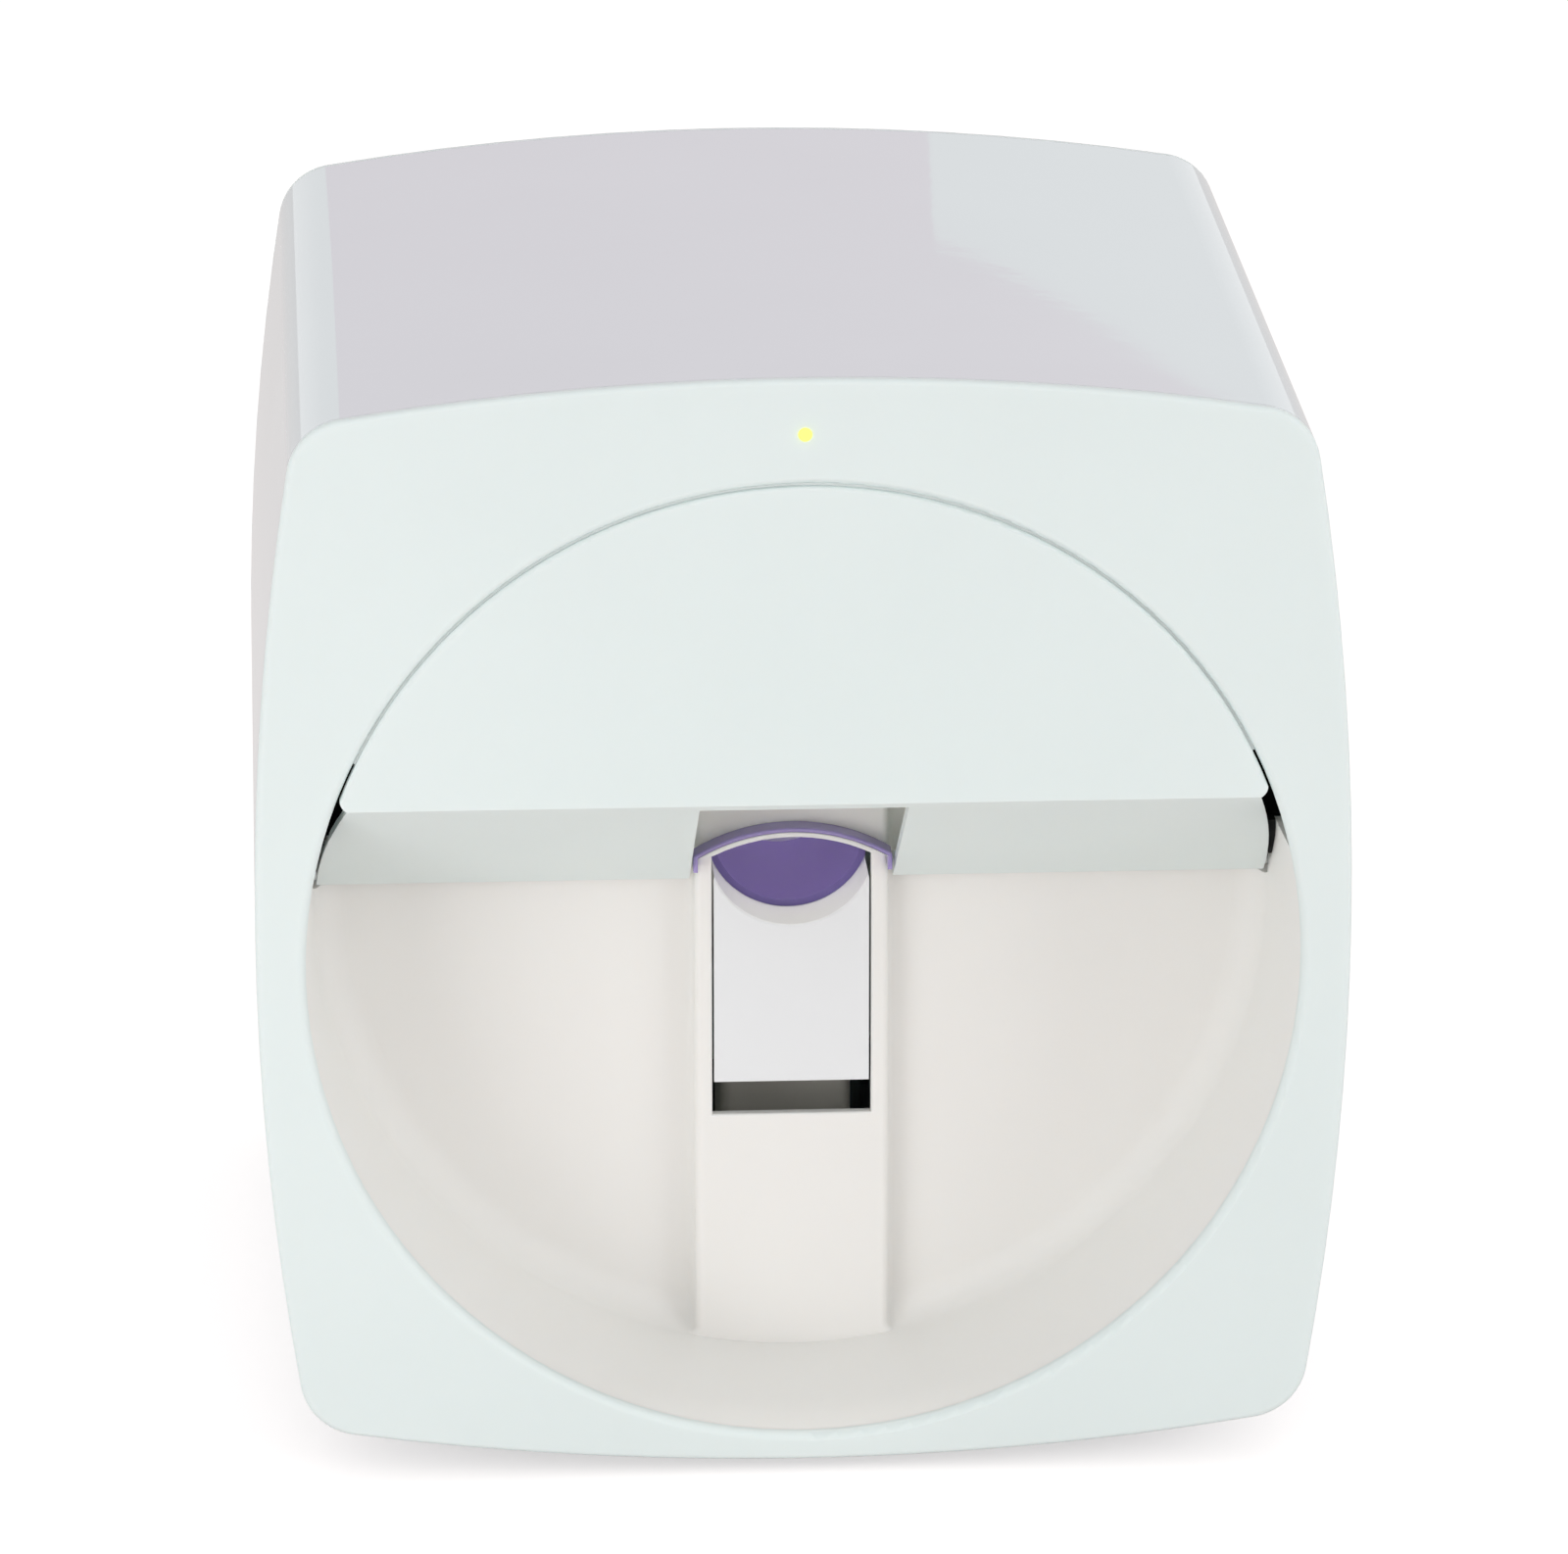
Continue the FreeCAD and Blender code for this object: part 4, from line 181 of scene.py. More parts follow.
def moulded(name, colour, roughness, grain, depth, ior=1.54, extra=None):
    """Plastic or rubber; grain and its depth in mm, extra holds more inputs of the shader."""
    made, tree, shader, where = new_finish(name)
    flow = noise(tree, where, FLOW_SCALE, 2.0)
    skin = noise(tree, where, 1000 / grain, 3.0, Roughness=0.55)
    fill(tree, shader, {
        "Base Color": drifting(tree, flow, colour, FLOW_DRIFT, FLOW_REACH),
        "Roughness": wandering(tree, flow, roughness, GLOSS_SPREAD),
        "Normal": embossed(tree, skin, depth), "IOR": ior, **(extra or {})})
    return made


def milky(share, depth=1.2):
    """Inputs that let light travel a little under the skin, as in white resin; depth in mm."""
    return {"Subsurface Weight": share, "Subsurface Radius": (1.0, 0.95, 0.9),
            "Subsurface Scale": depth / 1000}


# Columns: name, colour, roughness, grain in mm, depth of the grain in mm.
# Gloss white ABS from a polished tool: mirrors the room, with a long, faint "orange peel".
gloss_abs = moulded("gloss_white_abs", "#E4EBEF", 0.035, 7.0, 0.008)
# Satin white ABS from a spark-eroded tool: cool white, soft sheen, grain of about 0.4 mm.
satin_abs = moulded("satin_white_abs", "#E8F2F1", 0.38, 0.45, 0.006, extra=milky(0.5))
# The bowl is the same resin in a warmer batch, a little rougher where hands go.
bowl_abs = moulded("warm_white_abs", "#F5F4F1", 0.40, 0.5, 0.006, extra=milky(0.5))
# The lift tray: plain white ABS, smooth so that it wipes clean.
tray_abs = moulded("smooth_white_abs", "#EEF0F2", 0.25, 0.9, 0.004)
# Dark structural ABS of the chassis, moulded rough because nobody sees it.
chassis_abs = moulded("grey_structural_abs", "#3A3D42", 0.55, 0.8, 0.02)
# Black acetal of the moving blocks and the carriage: waxy, hard, self-lubricating.
acetal_black = moulded("black_acetal", "#141416", 0.34, 0.6, 0.006, 1.48)
# Natural acetal of the latch and the tray's well: milky white.
acetal_natural = moulded("natural_acetal", "#E2E0D8", 0.36, 0.6, 0.006, 1.48)
# Black polypropylene of the ink cartridge.
cartridge_pp = moulded("cartridge_polypropylene", "#17171C", 0.42, 0.5, 0.01, 1.49)
# Black glass-filled nylon of connectors and chips.
component_black = moulded("component_nylon", "#1B1C1F", 0.5, 0.4, 0.01, 1.53)
# Blue shrink sleeve of the cells.
cell_sleeve = moulded("pvc_shrink_sleeve", "#1F4F78", 0.22, 3.0, 0.02)
print("plastics ready")

# %% [markdown]
# ## Rubber, painted shade and silicone
# Soft materials scatter light in a rough skin, so they have hardly any highlight. The feet are
# black rubber with a dusty grain, and a near-black matt finish is painted shade for the dark gaps
# beside the cover. The lining of the finger tray is violet silicone: softer looking still, because
# a little light travels under its surface before it leaves again.

# %% Soft materials
foot_rubber = moulded("black_rubber", "#17181A", 0.72, 0.7, 0.03, 1.52)
belt_rubber = moulded("belt_neoprene", "#121213", 0.6, 0.5, 0.02, 1.55)
# Pale matt finish of the bead round the cover, nearly the colour of the front: painted light that
# lightens the groove's shade.
painted_light_pale = moulded("painted_light_pale", "#E4E9E8", 0.6, 0.6, 0.004, 1.5)
# Near-black matt finish: painted shade for the dark gaps beside the cover.
painted_shade_finish = moulded("painted_shade_matt_black", "#050506", 0.95, 0.4, 0.05, 1.3)
silicone = moulded("violet_silicone", "#7668A6", 0.5, 0.6, 0.01, 1.41, {
    "Subsurface Weight": 0.25, "Subsurface Radius": (0.003, 0.0018, 0.004)})
print("soft finishes ready")

# %% [markdown]
# ## Tinted and glowing plastics
# The guard over the finger is cast violet polycarbonate, slightly milky. Most of the light spreads
# under its skin and comes back violet, and a fifth of the shader is clear transmission, so its
# edges look deeper than its face. The tip of the light guide is a plain yellow plastic that glows a
# little, because a lamp stands behind it.

# %% Clear and glowing plastics
guard_violet = moulded("violet_polycarbonate", "#B2A2E2", 0.14, 6.0, 0.002, 1.585, {
    "Transmission Weight": 0.2, **milky(0.5, 2.0)})
light_tip = moulded("lit_light_guide", "#EEF27A", 0.3, 0.8, 0.004, 1.49, {
    "Emission Color": linear("#EAF266"), "Emission Strength": 0.65})
# Yellow phosphor of the ring light's lamps, which are lit while a nail is being printed.
phosphor = moulded("lamp_phosphor", "#F2E27A", 0.5, 0.3, 0.01, 1.5, {
    "Emission Color": linear("#FFFBEA"), "Emission Strength": 6.0})
lens_glass = moulded("coated_lens_glass", "#14121E", 0.03, 9.0, 0.0, 1.52, {"Coat Weight": 1.0})
print("guard, light tip and lens ready")

# %% [markdown]
# ## Metals
# A metal has no colour of its own underneath: its reflection is coloured, and how it was finished
# decides the rest. Ground rods show fine scratches round their axis, galvanised sheet shows the
# large crystals of its zinc, and turned bronze is warm and fairly rough. The stretch of the noise
# along one axis is what turns grain into scratches.

# %% Metals
MARK_DRIFT, MARK_REACH = 0.06, 0.2


def metal(name, colour, roughness, size, depth, stretch=(1, 1, 1), spread=0.08):
    """Bare metal with marks of a size and depth in mm; stretch scales them along x, y and z."""
    made, tree, shader, where = new_finish(name)
    laid = add_node(tree, "ShaderNodeMapping", {"Vector": where, "Scale": stretch})
    marks = noise(tree, laid.outputs[0], 1000 / size, 4.0)
    fill(tree, shader, {
        "Base Color": drifting(tree, marks, colour, MARK_DRIFT, MARK_REACH),
        "Roughness": wandering(tree, marks, roughness, spread),
        "Normal": embossed(tree, marks, depth), "Metallic": 1.0})
    return made


# Ground and hardened steel rod: the wheel leaves fine lines round the rod.
ground_steel = metal("ground_steel", "#C2C4C6", 0.22, 0.6, 0.002, (0.15, 1, 1))
# Rods that lie along y carry their lines across y instead.
ground_steel_y = metal("ground_steel_along_y", "#C2C4C6", 0.22, 0.6, 0.002, (1, 0.15, 1))
# Galvanised sheet, bent: flat grey with broad zinc crystals.
zinc_sheet = metal("galvanised_sheet", "#B4B8BC", 0.42, 6.0, 0.003, spread=0.14)
# Sintered bronze of the bushes and the nut.
bronze = metal("sintered_bronze", "#B98C54", 0.45, 0.5, 0.01)
# Machined alloy of the pulleys, the coupling and the capacitor cans.
alloy = metal("machined_alloy", "#C9CBCE", 0.3, 0.8, 0.003)
# Silicon steel plates of a motor, cut and bare.
motor_steel = metal("silicon_steel_plate", "#8E9194", 0.38, 1.0, 0.004)
# Music wire of the tray's spring, drawn through a die.
spring_wire = metal("music_wire", "#9C9FA3", 0.26, 0.8, 0.002)
# Nickel plate of the magnets and of the inlet's contacts.
nickel = metal("nickel_plate", "#CFCBC4", 0.12, 3.0, 0.001)
# Gilt copper of the contacts and the etched nozzle plate.
gilt = metal("gilt_copper", "#D8A84E", 0.25, 1.2, 0.002)
# Zinc-plated screws; tinned leads look the same.
screw_steel = metal("zinc_plated_screw", "#AEB2B6", 0.32, 0.6, 0.003)
print("metals ready")

# %% [markdown]
# ## Painted motor cans and printed circuit boards
# The motors are steel cans under a black baked enamel, which is smooth but thick enough to round
# every edge. A circuit board is glass fibre under green solder resist: the copper tracks below it
# show as lighter green bands, here drawn by a brick pattern on a grid of 2.54 mm, the pitch that
# boards are laid out on.

# %% Enamel and circuit board
BOARD_PITCH = 2.54
motor_enamel = moulded("black_enamel", "#1D1E20", 0.3, 2.0, 0.004)
circuit_board, tree, shader, where = new_finish("green_circuit_board")
tracks = add_node(tree, "ShaderNodeTexBrick", {
    "Vector": where, "Scale": 1000 / BOARD_PITCH, "Color1": linear("#0E4A2A"),
    "Color2": linear("#0B3F24"), "Mortar": linear("#1E6B3E"), "Mortar Size": 0.06,
    "Brick Width": 3.0, "Row Height": 1.0})
fill(tree, shader, {
    "Base Color": tracks.outputs["Color"], "Normal": embossed(tree, tracks.outputs["Fac"], 0.03),
    "Roughness": 0.28, "IOR": 1.55})
print("board and enamel ready")

# %% [markdown]
# ## Growing what repeats
# Screws, teeth, turns and leads are one small shape many times over. Placing them by hand would be
# slow and would leave copies that differ by accident. Geometry Nodes does it by rule: a tree takes
# a few loose points, or nothing at all, puts a shape on each, and its named inputs hold the sizes.
# The helpers below make an empty tree, close it with the two nodes every tree here ends in, and
# turn the grown result into a plain mesh that rides on one body of the machine.

# %% Helpers for whole trees
SOCKETS = {float: "Float", int: "Int", tuple: "Vector"}


def new_tree(name, inputs):
    """A tree with named inputs, each a first value or a kind; returns it and its entry sockets."""
    tree = bpy.data.node_groups.new(name, "GeometryNodeTree")
    tree.interface.new_socket("Geometry", in_out="OUTPUT", socket_type="NodeSocketGeometry")
    tree.interface.new_socket("Geometry", in_out="INPUT", socket_type="NodeSocketGeometry")
    for label, value in {**inputs, "Finish": "Material"}.items():
        kind = SOCKETS.get(type(value), value)
        socket = tree.interface.new_socket(label, in_out="INPUT", socket_type=f"NodeSocket{kind}")
        if kind != value:
            socket.default_value = value
    return tree, add_node(tree, "NodeGroupInput").outputs


def close_tree(tree, geometry, finish):
    """End a tree: instances become real faces, and the faces take their finish."""
    real = add_node(tree, "GeometryNodeRealizeInstances", {"Geometry": geometry}).outputs[0]
    done = add_node(tree, "GeometryNodeSetMaterial", {"Geometry": real, "Material": finish})
    add_node(tree, "NodeGroupOutput", {"Geometry": done.outputs[0]})
    print(tree.name, "has", len(tree.nodes), "nodes")


def plain_piece(name, mesh, body, crease=35):
    """Make a finished mesh a piece of the machine: smooth, with creases where it turns sharply."""
    mesh.name = name
    mesh.shade_smooth()
    mesh.set_sharp_from_angle(angle=math.radians(crease))
    piece = bpy.data.objects.new(name, mesh)
    bpy.context.scene.collection.objects.link(piece)
    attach(piece, body)
    return piece


def grow(name, tree, body, slot, points=((0, 0, 0),), crease=35, **sizes):
    """Run a tree on loose points (in mm) and keep the result as a plain piece."""
    seeds = bpy.data.meshes.new(name + "_points")
    seeds.from_pydata([Vector(p) / 1000 for p in points], [], [])
    soil = bpy.data.objects.new(name + "_points", seeds)
    bpy.context.scene.collection.objects.link(soil)
    modifier = soil.modifiers.new("grow", "NODES")
    modifier.node_group = tree
    given = {label.replace("_", " "): value for label, value in sizes.items()}
    for item in tree.interface.items_tree:
        if item.in_out == "INPUT" and item.name in given:
            modifier[item.identifier] = given.pop(item.name)
    assert not given, f"{name}: no input is named {sorted(given)}"
    bpy.context.view_layer.update()
    grown = soil.evaluated_get(bpy.context.evaluated_depsgraph_get())
    mesh = bpy.data.meshes.new_from_object(grown)
    bpy.data.objects.remove(soil)
    print(f"{name}: {len(mesh.polygons)} faces on {body}")
    return plain_piece(name, mesh, body, crease)


print("whole-tree helpers ready")

# %% [markdown]
# ## Short names for common steps
# The same few nodes turn up in every tree: a sum, a vector, a block, a round bar, a copy on every
# point. Each gets one short function, so the trees below read like a parts list.

# %% Helpers inside a tree
def out(tree, kind, inputs=None, **settings):
    """Add a node and return its first output."""
    return add_node(tree, kind, inputs, **settings).outputs[0]


def calc(tree, how, *values):
    """One Math node inside a tree."""
    return out(tree, "ShaderNodeMath", dict(enumerate(values)), operation=how)


def vector(tree, **parts):
    """A vector inside a tree from its X, Y and Z."""
    return out(tree, "ShaderNodeCombineXYZ", parts)


def about_z(tree, angle):
    """A turn about the upright axis."""
    return out(tree, "FunctionNodeEulerToRotation", {0: vector(tree, Z=angle)})


def join(tree, *parts):
    """Several shapes as one."""
    node = add_node(tree, "GeometryNodeJoinGeometry")
    for part in parts:
        tree.links.new(part, node.inputs[0])
    return node.outputs[0]


def moved(tree, shape, **how):
    """A shape after a Translation, a Rotation or both."""
    return out(tree, "GeometryNodeTransform", {"Geometry": shape, **how})


def on_points(tree, points, shape, **how):
    """A copy of a shape on every point."""
    return out(tree, "GeometryNodeInstanceOnPoints", {"Points": points, "Instance": shape, **how})


def block(tree, size):
    """A rectangular block."""
    return out(tree, "GeometryNodeMeshCube", {"Size": size})


def rod(tree, corners, radius, length):
    """A round bar."""
    return out(tree, "GeometryNodeMeshCylinder", {
        "Vertices": corners, "Radius": radius, "Depth": length})


print("helpers inside a tree ready")

# %% [markdown]
# ## Turned shapes
# Screw heads, pulleys, couplings and contacts are round about one axis, as a lathe makes them. Such
# a shape is one line, its profile, spun about the axis. Profiles are given as radius and height in
# millimetres, and a turned piece is then laid along its own axis and moved to its place.

# %% The lathe
UPWARDS, BACKWARDS, FORWARDS = ((math.radians(angle), 0, 0) for angle in (0, -90, 90))
ALONG_Y, ALONG_Z = (0, 1, 0), (0, 0, 1)
MERGE_DISTANCE = 1e-6


def spun(profile, steps=48, axis=ALONG_Z):
    """Turn a profile of (radius, height) points in mm into a closed mesh, as a lathe does."""
    shape = bmesh.new()
    line = [shape.verts.new((r / 1000, 0, h / 1000)) for r, h in profile]
    edges = [shape.edges.new(pair) for pair in zip(line, line[1:])]
    bmesh.ops.spin(shape, geom=line + edges, axis=ALONG_Z, cent=(0, 0, 0),
                   angle=math.tau, steps=steps)
    bmesh.ops.remove_doubles(shape, verts=shape.verts, dist=MERGE_DISTANCE)
    bmesh.ops.recalc_face_normals(shape, faces=shape.faces)
    mesh = bpy.data.meshes.new("spun")
    shape.to_mesh(mesh)
    shape.free()
    mesh.transform(Vector(ALONG_Z).rotation_difference(Vector(axis)).to_matrix().to_4x4())
    return mesh


def turned_piece(name, profile, body, finish, place, axis=ALONG_Y, steps=48):
    """A turned shape as a piece of the machine, with its origin at a place in mm."""
    mesh = spun(profile, steps, axis)
    mesh.transform(Matrix.Translation([c / 1000 for c in place]))
    mesh.materials.append(finish)
    plain_piece(name, mesh, body)


print("lathe ready")

# %% [markdown]
# ## Screws
# Small machines are held together by pan-head screws with a cross recess. Each head is cold-formed,
# so its top is a low dome with a rounded rim, and every screw stops at another angle. The head is a
# turned shape, so it is spun from a profile. The tree presses the recess into it once, adds the
# shank, puts the finished screw on every seat, and gives each its own turn from a fixed seed.

# %% The head, spun on a lathe
HEAD = spun([(0, 1.5), (1.2, 1.46), (2.0, 1.3), (2.5, 1.0), (2.75, 0.6), (2.78, 0.2), (2.7, 0),
             (0, 0)])
head_blank = bpy.data.objects.new("head_blank", HEAD)
print("screw head:", len(HEAD.polygons), "faces")

# %% A tree of cross-recess screws
RANDOM_SOCKETS = {"FLOAT": (2, 3, 1), "INT": (4, 5, 2)}     # low, high and result of the node


def chance(tree, kind, low, high, seed):
    """A random value for every point, always the same for the same seed."""
    first, second, result = RANDOM_SOCKETS[kind]
    return add_node(tree, "FunctionNodeRandomValue", {first: low, second: high, "Seed": seed},
                    data_type=kind).outputs[result]


screw_tree, entry = new_tree("cross_recess_screws", {
    "Head": "Object", "Head Height": 0.0015, "Recess Width": 0.0006, "Recess Length": 0.0031,
    "Recess Depth": 0.0009, "Shank Radius": 0.0014, "Shank Length": 0.006, "Overlap": 0.0002,
    "Facing": "Rotation", "Scale": 1.0, "Seed": 7})
tree = screw_tree
pressed = add_node(tree, "GeometryNodeObjectInfo", {"Object": entry["Head"]}).outputs["Geometry"]
sunk = calc(tree, "MULTIPLY", entry["Recess Depth"], 2)
for x, y in ((entry["Recess Length"], entry["Recess Width"]),
             (entry["Recess Width"], entry["Recess Length"])):
    bar = moved(tree, block(tree, vector(tree, X=x, Y=y, Z=sunk)),
                Translation=vector(tree, Z=entry["Head Height"]))
    pressed = out(tree, "GeometryNodeMeshBoolean", {"Mesh 1": pressed, "Mesh 2": bar},
                  operation="DIFFERENCE")
down = calc(tree, "ADD", calc(tree, "MULTIPLY", entry["Shank Length"], -0.5), entry["Overlap"])
shank = moved(tree, rod(tree, 24, entry["Shank Radius"], entry["Shank Length"]),
              Translation=vector(tree, Z=down))
own = about_z(tree, chance(tree, "FLOAT", 0.0, math.tau, entry["Seed"]))
faced = out(tree, "FunctionNodeRotateRotation", {"Rotation": own, "Rotate By": entry["Facing"]})
placed = on_points(tree, entry["Geometry"], join(tree, pressed, shank), Rotation=faced,
                   Scale=entry["Scale"])
close_tree(tree, placed, entry["Finish"])

# %% Screws on their seats
SCREWS = {      # seats in mm, the way the heads face, length of the shank in mm
    "rear_screws": ([(x, 93.5, z) for x in (-78, 78) for z in (26, 174)], BACKWARDS, 8),
    "bowl_screws": ([(x, -85.4, 30.64) for x in (-69.48, 69.48)], BACKWARDS, 6),
    "chassis_screws": ([(x, y, 15) for x in (-50, 50) for y in (-30, 75)], UPWARDS, 5),
    "frame_screws": ([(x, y, 16.5) for x in (-65.2, 65.2) for y in (-18, 66)], UPWARDS, 4)}
for name, (seats, facing, shank_mm) in SCREWS.items():
    piece = grow(name + "_crossed", screw_tree, "housing", "steel", seats, Head=head_blank,
                 Facing=facing, Shank_Length=shank_mm / 1000, Finish=screw_steel)
    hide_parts(name)

# %% [markdown]
# ## The lead screw
# The stage is pushed by a screw that moves it eight millimetres a turn. Such a screw has four
# threads side by side, two millimetres apart, rolled into the rod. A helix that a profile follows
# is exactly what the Curve Spiral and Curve to Mesh nodes make, so one thread is grown that way,
# and the tree turns it round the rod once for every start.

# %% A tree of screw thread
def helix(tree, steps, turns, radius, height):
    """A curve that climbs as it turns."""
    return out(tree, "GeometryNodeCurveSpiral", {
        "Resolution": steps, "Rotations": turns, "Start Radius": radius, "End Radius": radius,
        "Height": height})


def swept(tree, path, corners, radius):
    """A round wire along a curve, closed at both ends."""
    section = out(tree, "GeometryNodeCurvePrimitiveCircle", {
        "Resolution": corners, "Radius": radius})
    return out(tree, "GeometryNodeCurveToMesh", {
        "Curve": path, "Profile Curve": section, "Fill Caps": True})


tree, entry = new_tree("rolled_thread", {
    "Core Radius": 0.0025, "Crest": 0.0005, "Lead": 0.008, "Length": 0.08, "Starts": 4,
    "Steps per Turn": 24, "Place": (0, 0, 0)})
turns = calc(tree, "DIVIDE", entry["Length"], entry["Lead"])
climb = helix(tree, entry["Steps per Turn"], turns, entry["Core Radius"], entry["Length"])
starts = out(tree, "GeometryNodePoints", {"Count": entry["Starts"]})
step = calc(tree, "DIVIDE", math.tau, entry["Starts"])
angle = calc(tree, "MULTIPLY", out(tree, "GeometryNodeInputIndex"), step)
ridges = on_points(tree, starts, swept(tree, climb, 6, entry["Crest"]),
                   Rotation=about_z(tree, angle))
core = moved(tree, rod(tree, 32, entry["Core Radius"], entry["Length"]),
             Translation=vector(tree, Z=calc(tree, "MULTIPLY", entry["Length"], 0.5)))
laid = moved(tree, join(tree, ridges, core), Translation=entry["Place"], Rotation=BACKWARDS)
close_tree(tree, laid, entry["Finish"])

# %% The lead screw with its thread, coupling and shaft end
COUPLING = [(0, -5.5), (1.5, -5.5), (1.5, 1), (4.1, 1), (4.5, 1.4), (4.5, 4.7), (4.1, 5.1),
            (4.1, 5.9), (4.5, 6.3), (4.5, 9.6), (4.1, 10), (2.2, 10), (0, 10)]
thread = grow("lead_screw_thread", tree, "lead_screw", "steel", crease=50, Length=0.0794,
              Place=(0.060, 0.0050, 0.106), Finish=ground_steel_y)
turned_piece("lead_screw_coupling", COUPLING, "lead_screw", alloy, (60, -4.5, 106))
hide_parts("lead_screw")

# %% [markdown]
# ## Toothed pulleys and belt
# The carriage hangs on a toothed belt, because a toothed belt can't slip and so never loses its
# place. The teeth are rounded bars two millimetres apart. On a pulley they stand round a circle, so
# the tree turns one bar about the axis; on the belt they stand in a row, so the tree draws a line
# of points. Sixteen teeth at two millimetres give a wheel of 32 mm round.

# %% A tree of bars round an axis
def circle_of_points(tree, count, radius):
    """Points on a circle."""
    return out(tree, "GeometryNodeMeshCircle", {"Vertices": count, "Radius": radius})


tree, entry = new_tree("bars_round_an_axis", {
    "Teeth": 16, "Radius": 0.0046, "Bar": 0.0004, "Width": 0.0054})
wheel = on_points(tree, circle_of_points(tree, entry["Teeth"], entry["Radius"]),
                  rod(tree, 10, entry["Bar"], entry["Width"]))
seats = on_points(tree, entry["Geometry"], moved(tree, wheel, Rotation=FORWARDS))
close_tree(tree, seats, entry["Finish"])

# %% Pulleys and the motor's shaft
PULLEY_X, BELT_Y, BELT_Z = 60, 78.6, 156            # mm
FLANGES = [(6.7, -3.2), (7, -3.0), (7, -2.8), (6.8, -2.7), (4.6, -2.7), (4.6, 2.7), (6.8, 2.7),
           (7, 2.8), (7, 3.0), (6.7, 3.2)]
SHAFT = [(0, 53.5), (1.3, 53.5), (1.5, 53.7), (1.5, 76), (0, 76)]
PULLEYS = {                                         # x and the radius of the bore, in mm
    "drive_pulley": (-PULLEY_X, 0), "idler_pulley": (PULLEY_X, 1.55)}
for name, (x, bore) in PULLEYS.items():
    place = (x, BELT_Y, BELT_Z)
    teeth = grow(name + "_teeth", tree, name, "alloy", [place], Finish=alloy)
    if bore:
        profile = [(bore, -3.2), *FLANGES, (bore, 3.2), (bore, -3.2)]
    else:
        profile = [(0, -3.2), *FLANGES, (0, 3.2)]
        turned_piece("drive_shaft", SHAFT, name, ground_steel_y, (x, 0, BELT_Z))
    turned_piece(name + "_wheel", profile, name, alloy, place)
    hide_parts(name)

# %% A tree of bars in rows, for the belt
def line_of_points(tree, count, offset, start=(0, 0, 0)):
    """Points in a row."""
    return out(tree, "GeometryNodeMeshLine", {
        "Count": count, "Offset": offset, "Start Location": start})


def centred(tree, count, pitch):
    """Where a row has to start so that its middle is at zero."""
    gaps = calc(tree, "SUBTRACT", count, 1)
    return calc(tree, "MULTIPLY", calc(tree, "MULTIPLY", gaps, pitch), -0.5)


tree, entry = new_tree("bars_in_a_row", {
    "Count": 57, "Pitch": 0.002, "Bar": 0.0005, "Width": 0.005, "Gap": 0.0101})
start = centred(tree, entry["Count"], entry["Pitch"])
runs = [line_of_points(tree, entry["Count"], vector(tree, X=entry["Pitch"]),
                       vector(tree, X=start, Z=calc(tree, "MULTIPLY", entry["Gap"], way)))
        for way in (-0.5, 0.5)]
bar = moved(tree, rod(tree, 8, entry["Bar"], entry["Width"]), Rotation=FORWARDS)
loop = on_points(tree, join(tree, *runs), bar)
close_tree(tree, on_points(tree, entry["Geometry"], loop), entry["Finish"])
grow("belt_teeth", tree, "stage", "belt", [(0, BELT_Y, BELT_Z)], Finish=belt_rubber)

# %% [markdown]
# ## Stepper motors
# A stepper motor of this size is a stack of thin square steel plates pressed between two cast caps.
# The plates are what the eye knows it by. One rounded plate is drawn as a curve, filled and pushed
# out, and a line of points carries as many as are wanted. The same tree makes the two caps: they
# are only two thick plates, far apart.

# %% A tree of square plates in a stack
tree, entry = new_tree("square_plates", {
    "Side": 0.0192, "Corner": 0.0022, "Thickness": 0.0004, "Pitch": 0.0006, "Count": 20,
    "Weld": 0.00001})
square = out(tree, "GeometryNodeCurvePrimitiveQuadrilateral", {
    "Width": entry["Side"], "Height": entry["Side"]})
rounded = out(tree, "GeometryNodeFilletCurve", {
    "Curve": square, "Radius": entry["Corner"], "Count": 4}, mode="POLY")
face = out(tree, "GeometryNodeFillCurve", {"Curve": rounded}, mode="NGONS")
pushed = out(tree, "GeometryNodeExtrudeMesh", {
    "Mesh": face, "Offset Scale": entry["Thickness"], "Individual": False})
under = out(tree, "GeometryNodeFlipFaces", {"Mesh": face})
plate = out(tree, "GeometryNodeMergeByDistance", {
    "Geometry": join(tree, pushed, under), "Distance": entry["Weld"]})
row = line_of_points(tree, entry["Count"], vector(tree, Y=entry["Pitch"]))
stack = on_points(tree, row, moved(tree, plate, Rotation=BACKWARDS))
close_tree(tree, on_points(tree, entry["Geometry"], stack), entry["Finish"])

# %% Both motors
MOTORS = {"x_motor": ("stage", (-60, 35, 156)), "y_motor": ("housing", (60, -28.5, 106))}
PLATES_IN, CORE_IN, HOLE_OUT = 6, 1, 7.6    # mm: plates, core behind the front; holes off the axis
for name, (body, (x, y, z)) in MOTORS.items():
    plates = grow(name + "_plates", tree, body, "motor", [(x, y + PLATES_IN, z)],
                  Finish=motor_steel)
    grow(name + "_core", tree, body, "motor", [(x, y + CORE_IN, z)], Side=0.0186,
         Thickness=0.022, Count=1, Finish=motor_enamel)
    grow(name + "_caps", tree, body, "motor", [(x, y, z)], Side=0.0200, Thickness=0.006,
         Pitch=0.018, Count=2, Finish=motor_enamel)
    corners = [(x + a * HOLE_OUT, y, z + b * HOLE_OUT) for a in (-1, 1) for b in (-1, 1)]
    grow(name + "_screws", screw_tree, body, "steel", corners, Head=head_blank, Scale=0.5,
         Facing=FORWARDS, Shank_Length=0.004, Finish=screw_steel)
    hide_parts(name)
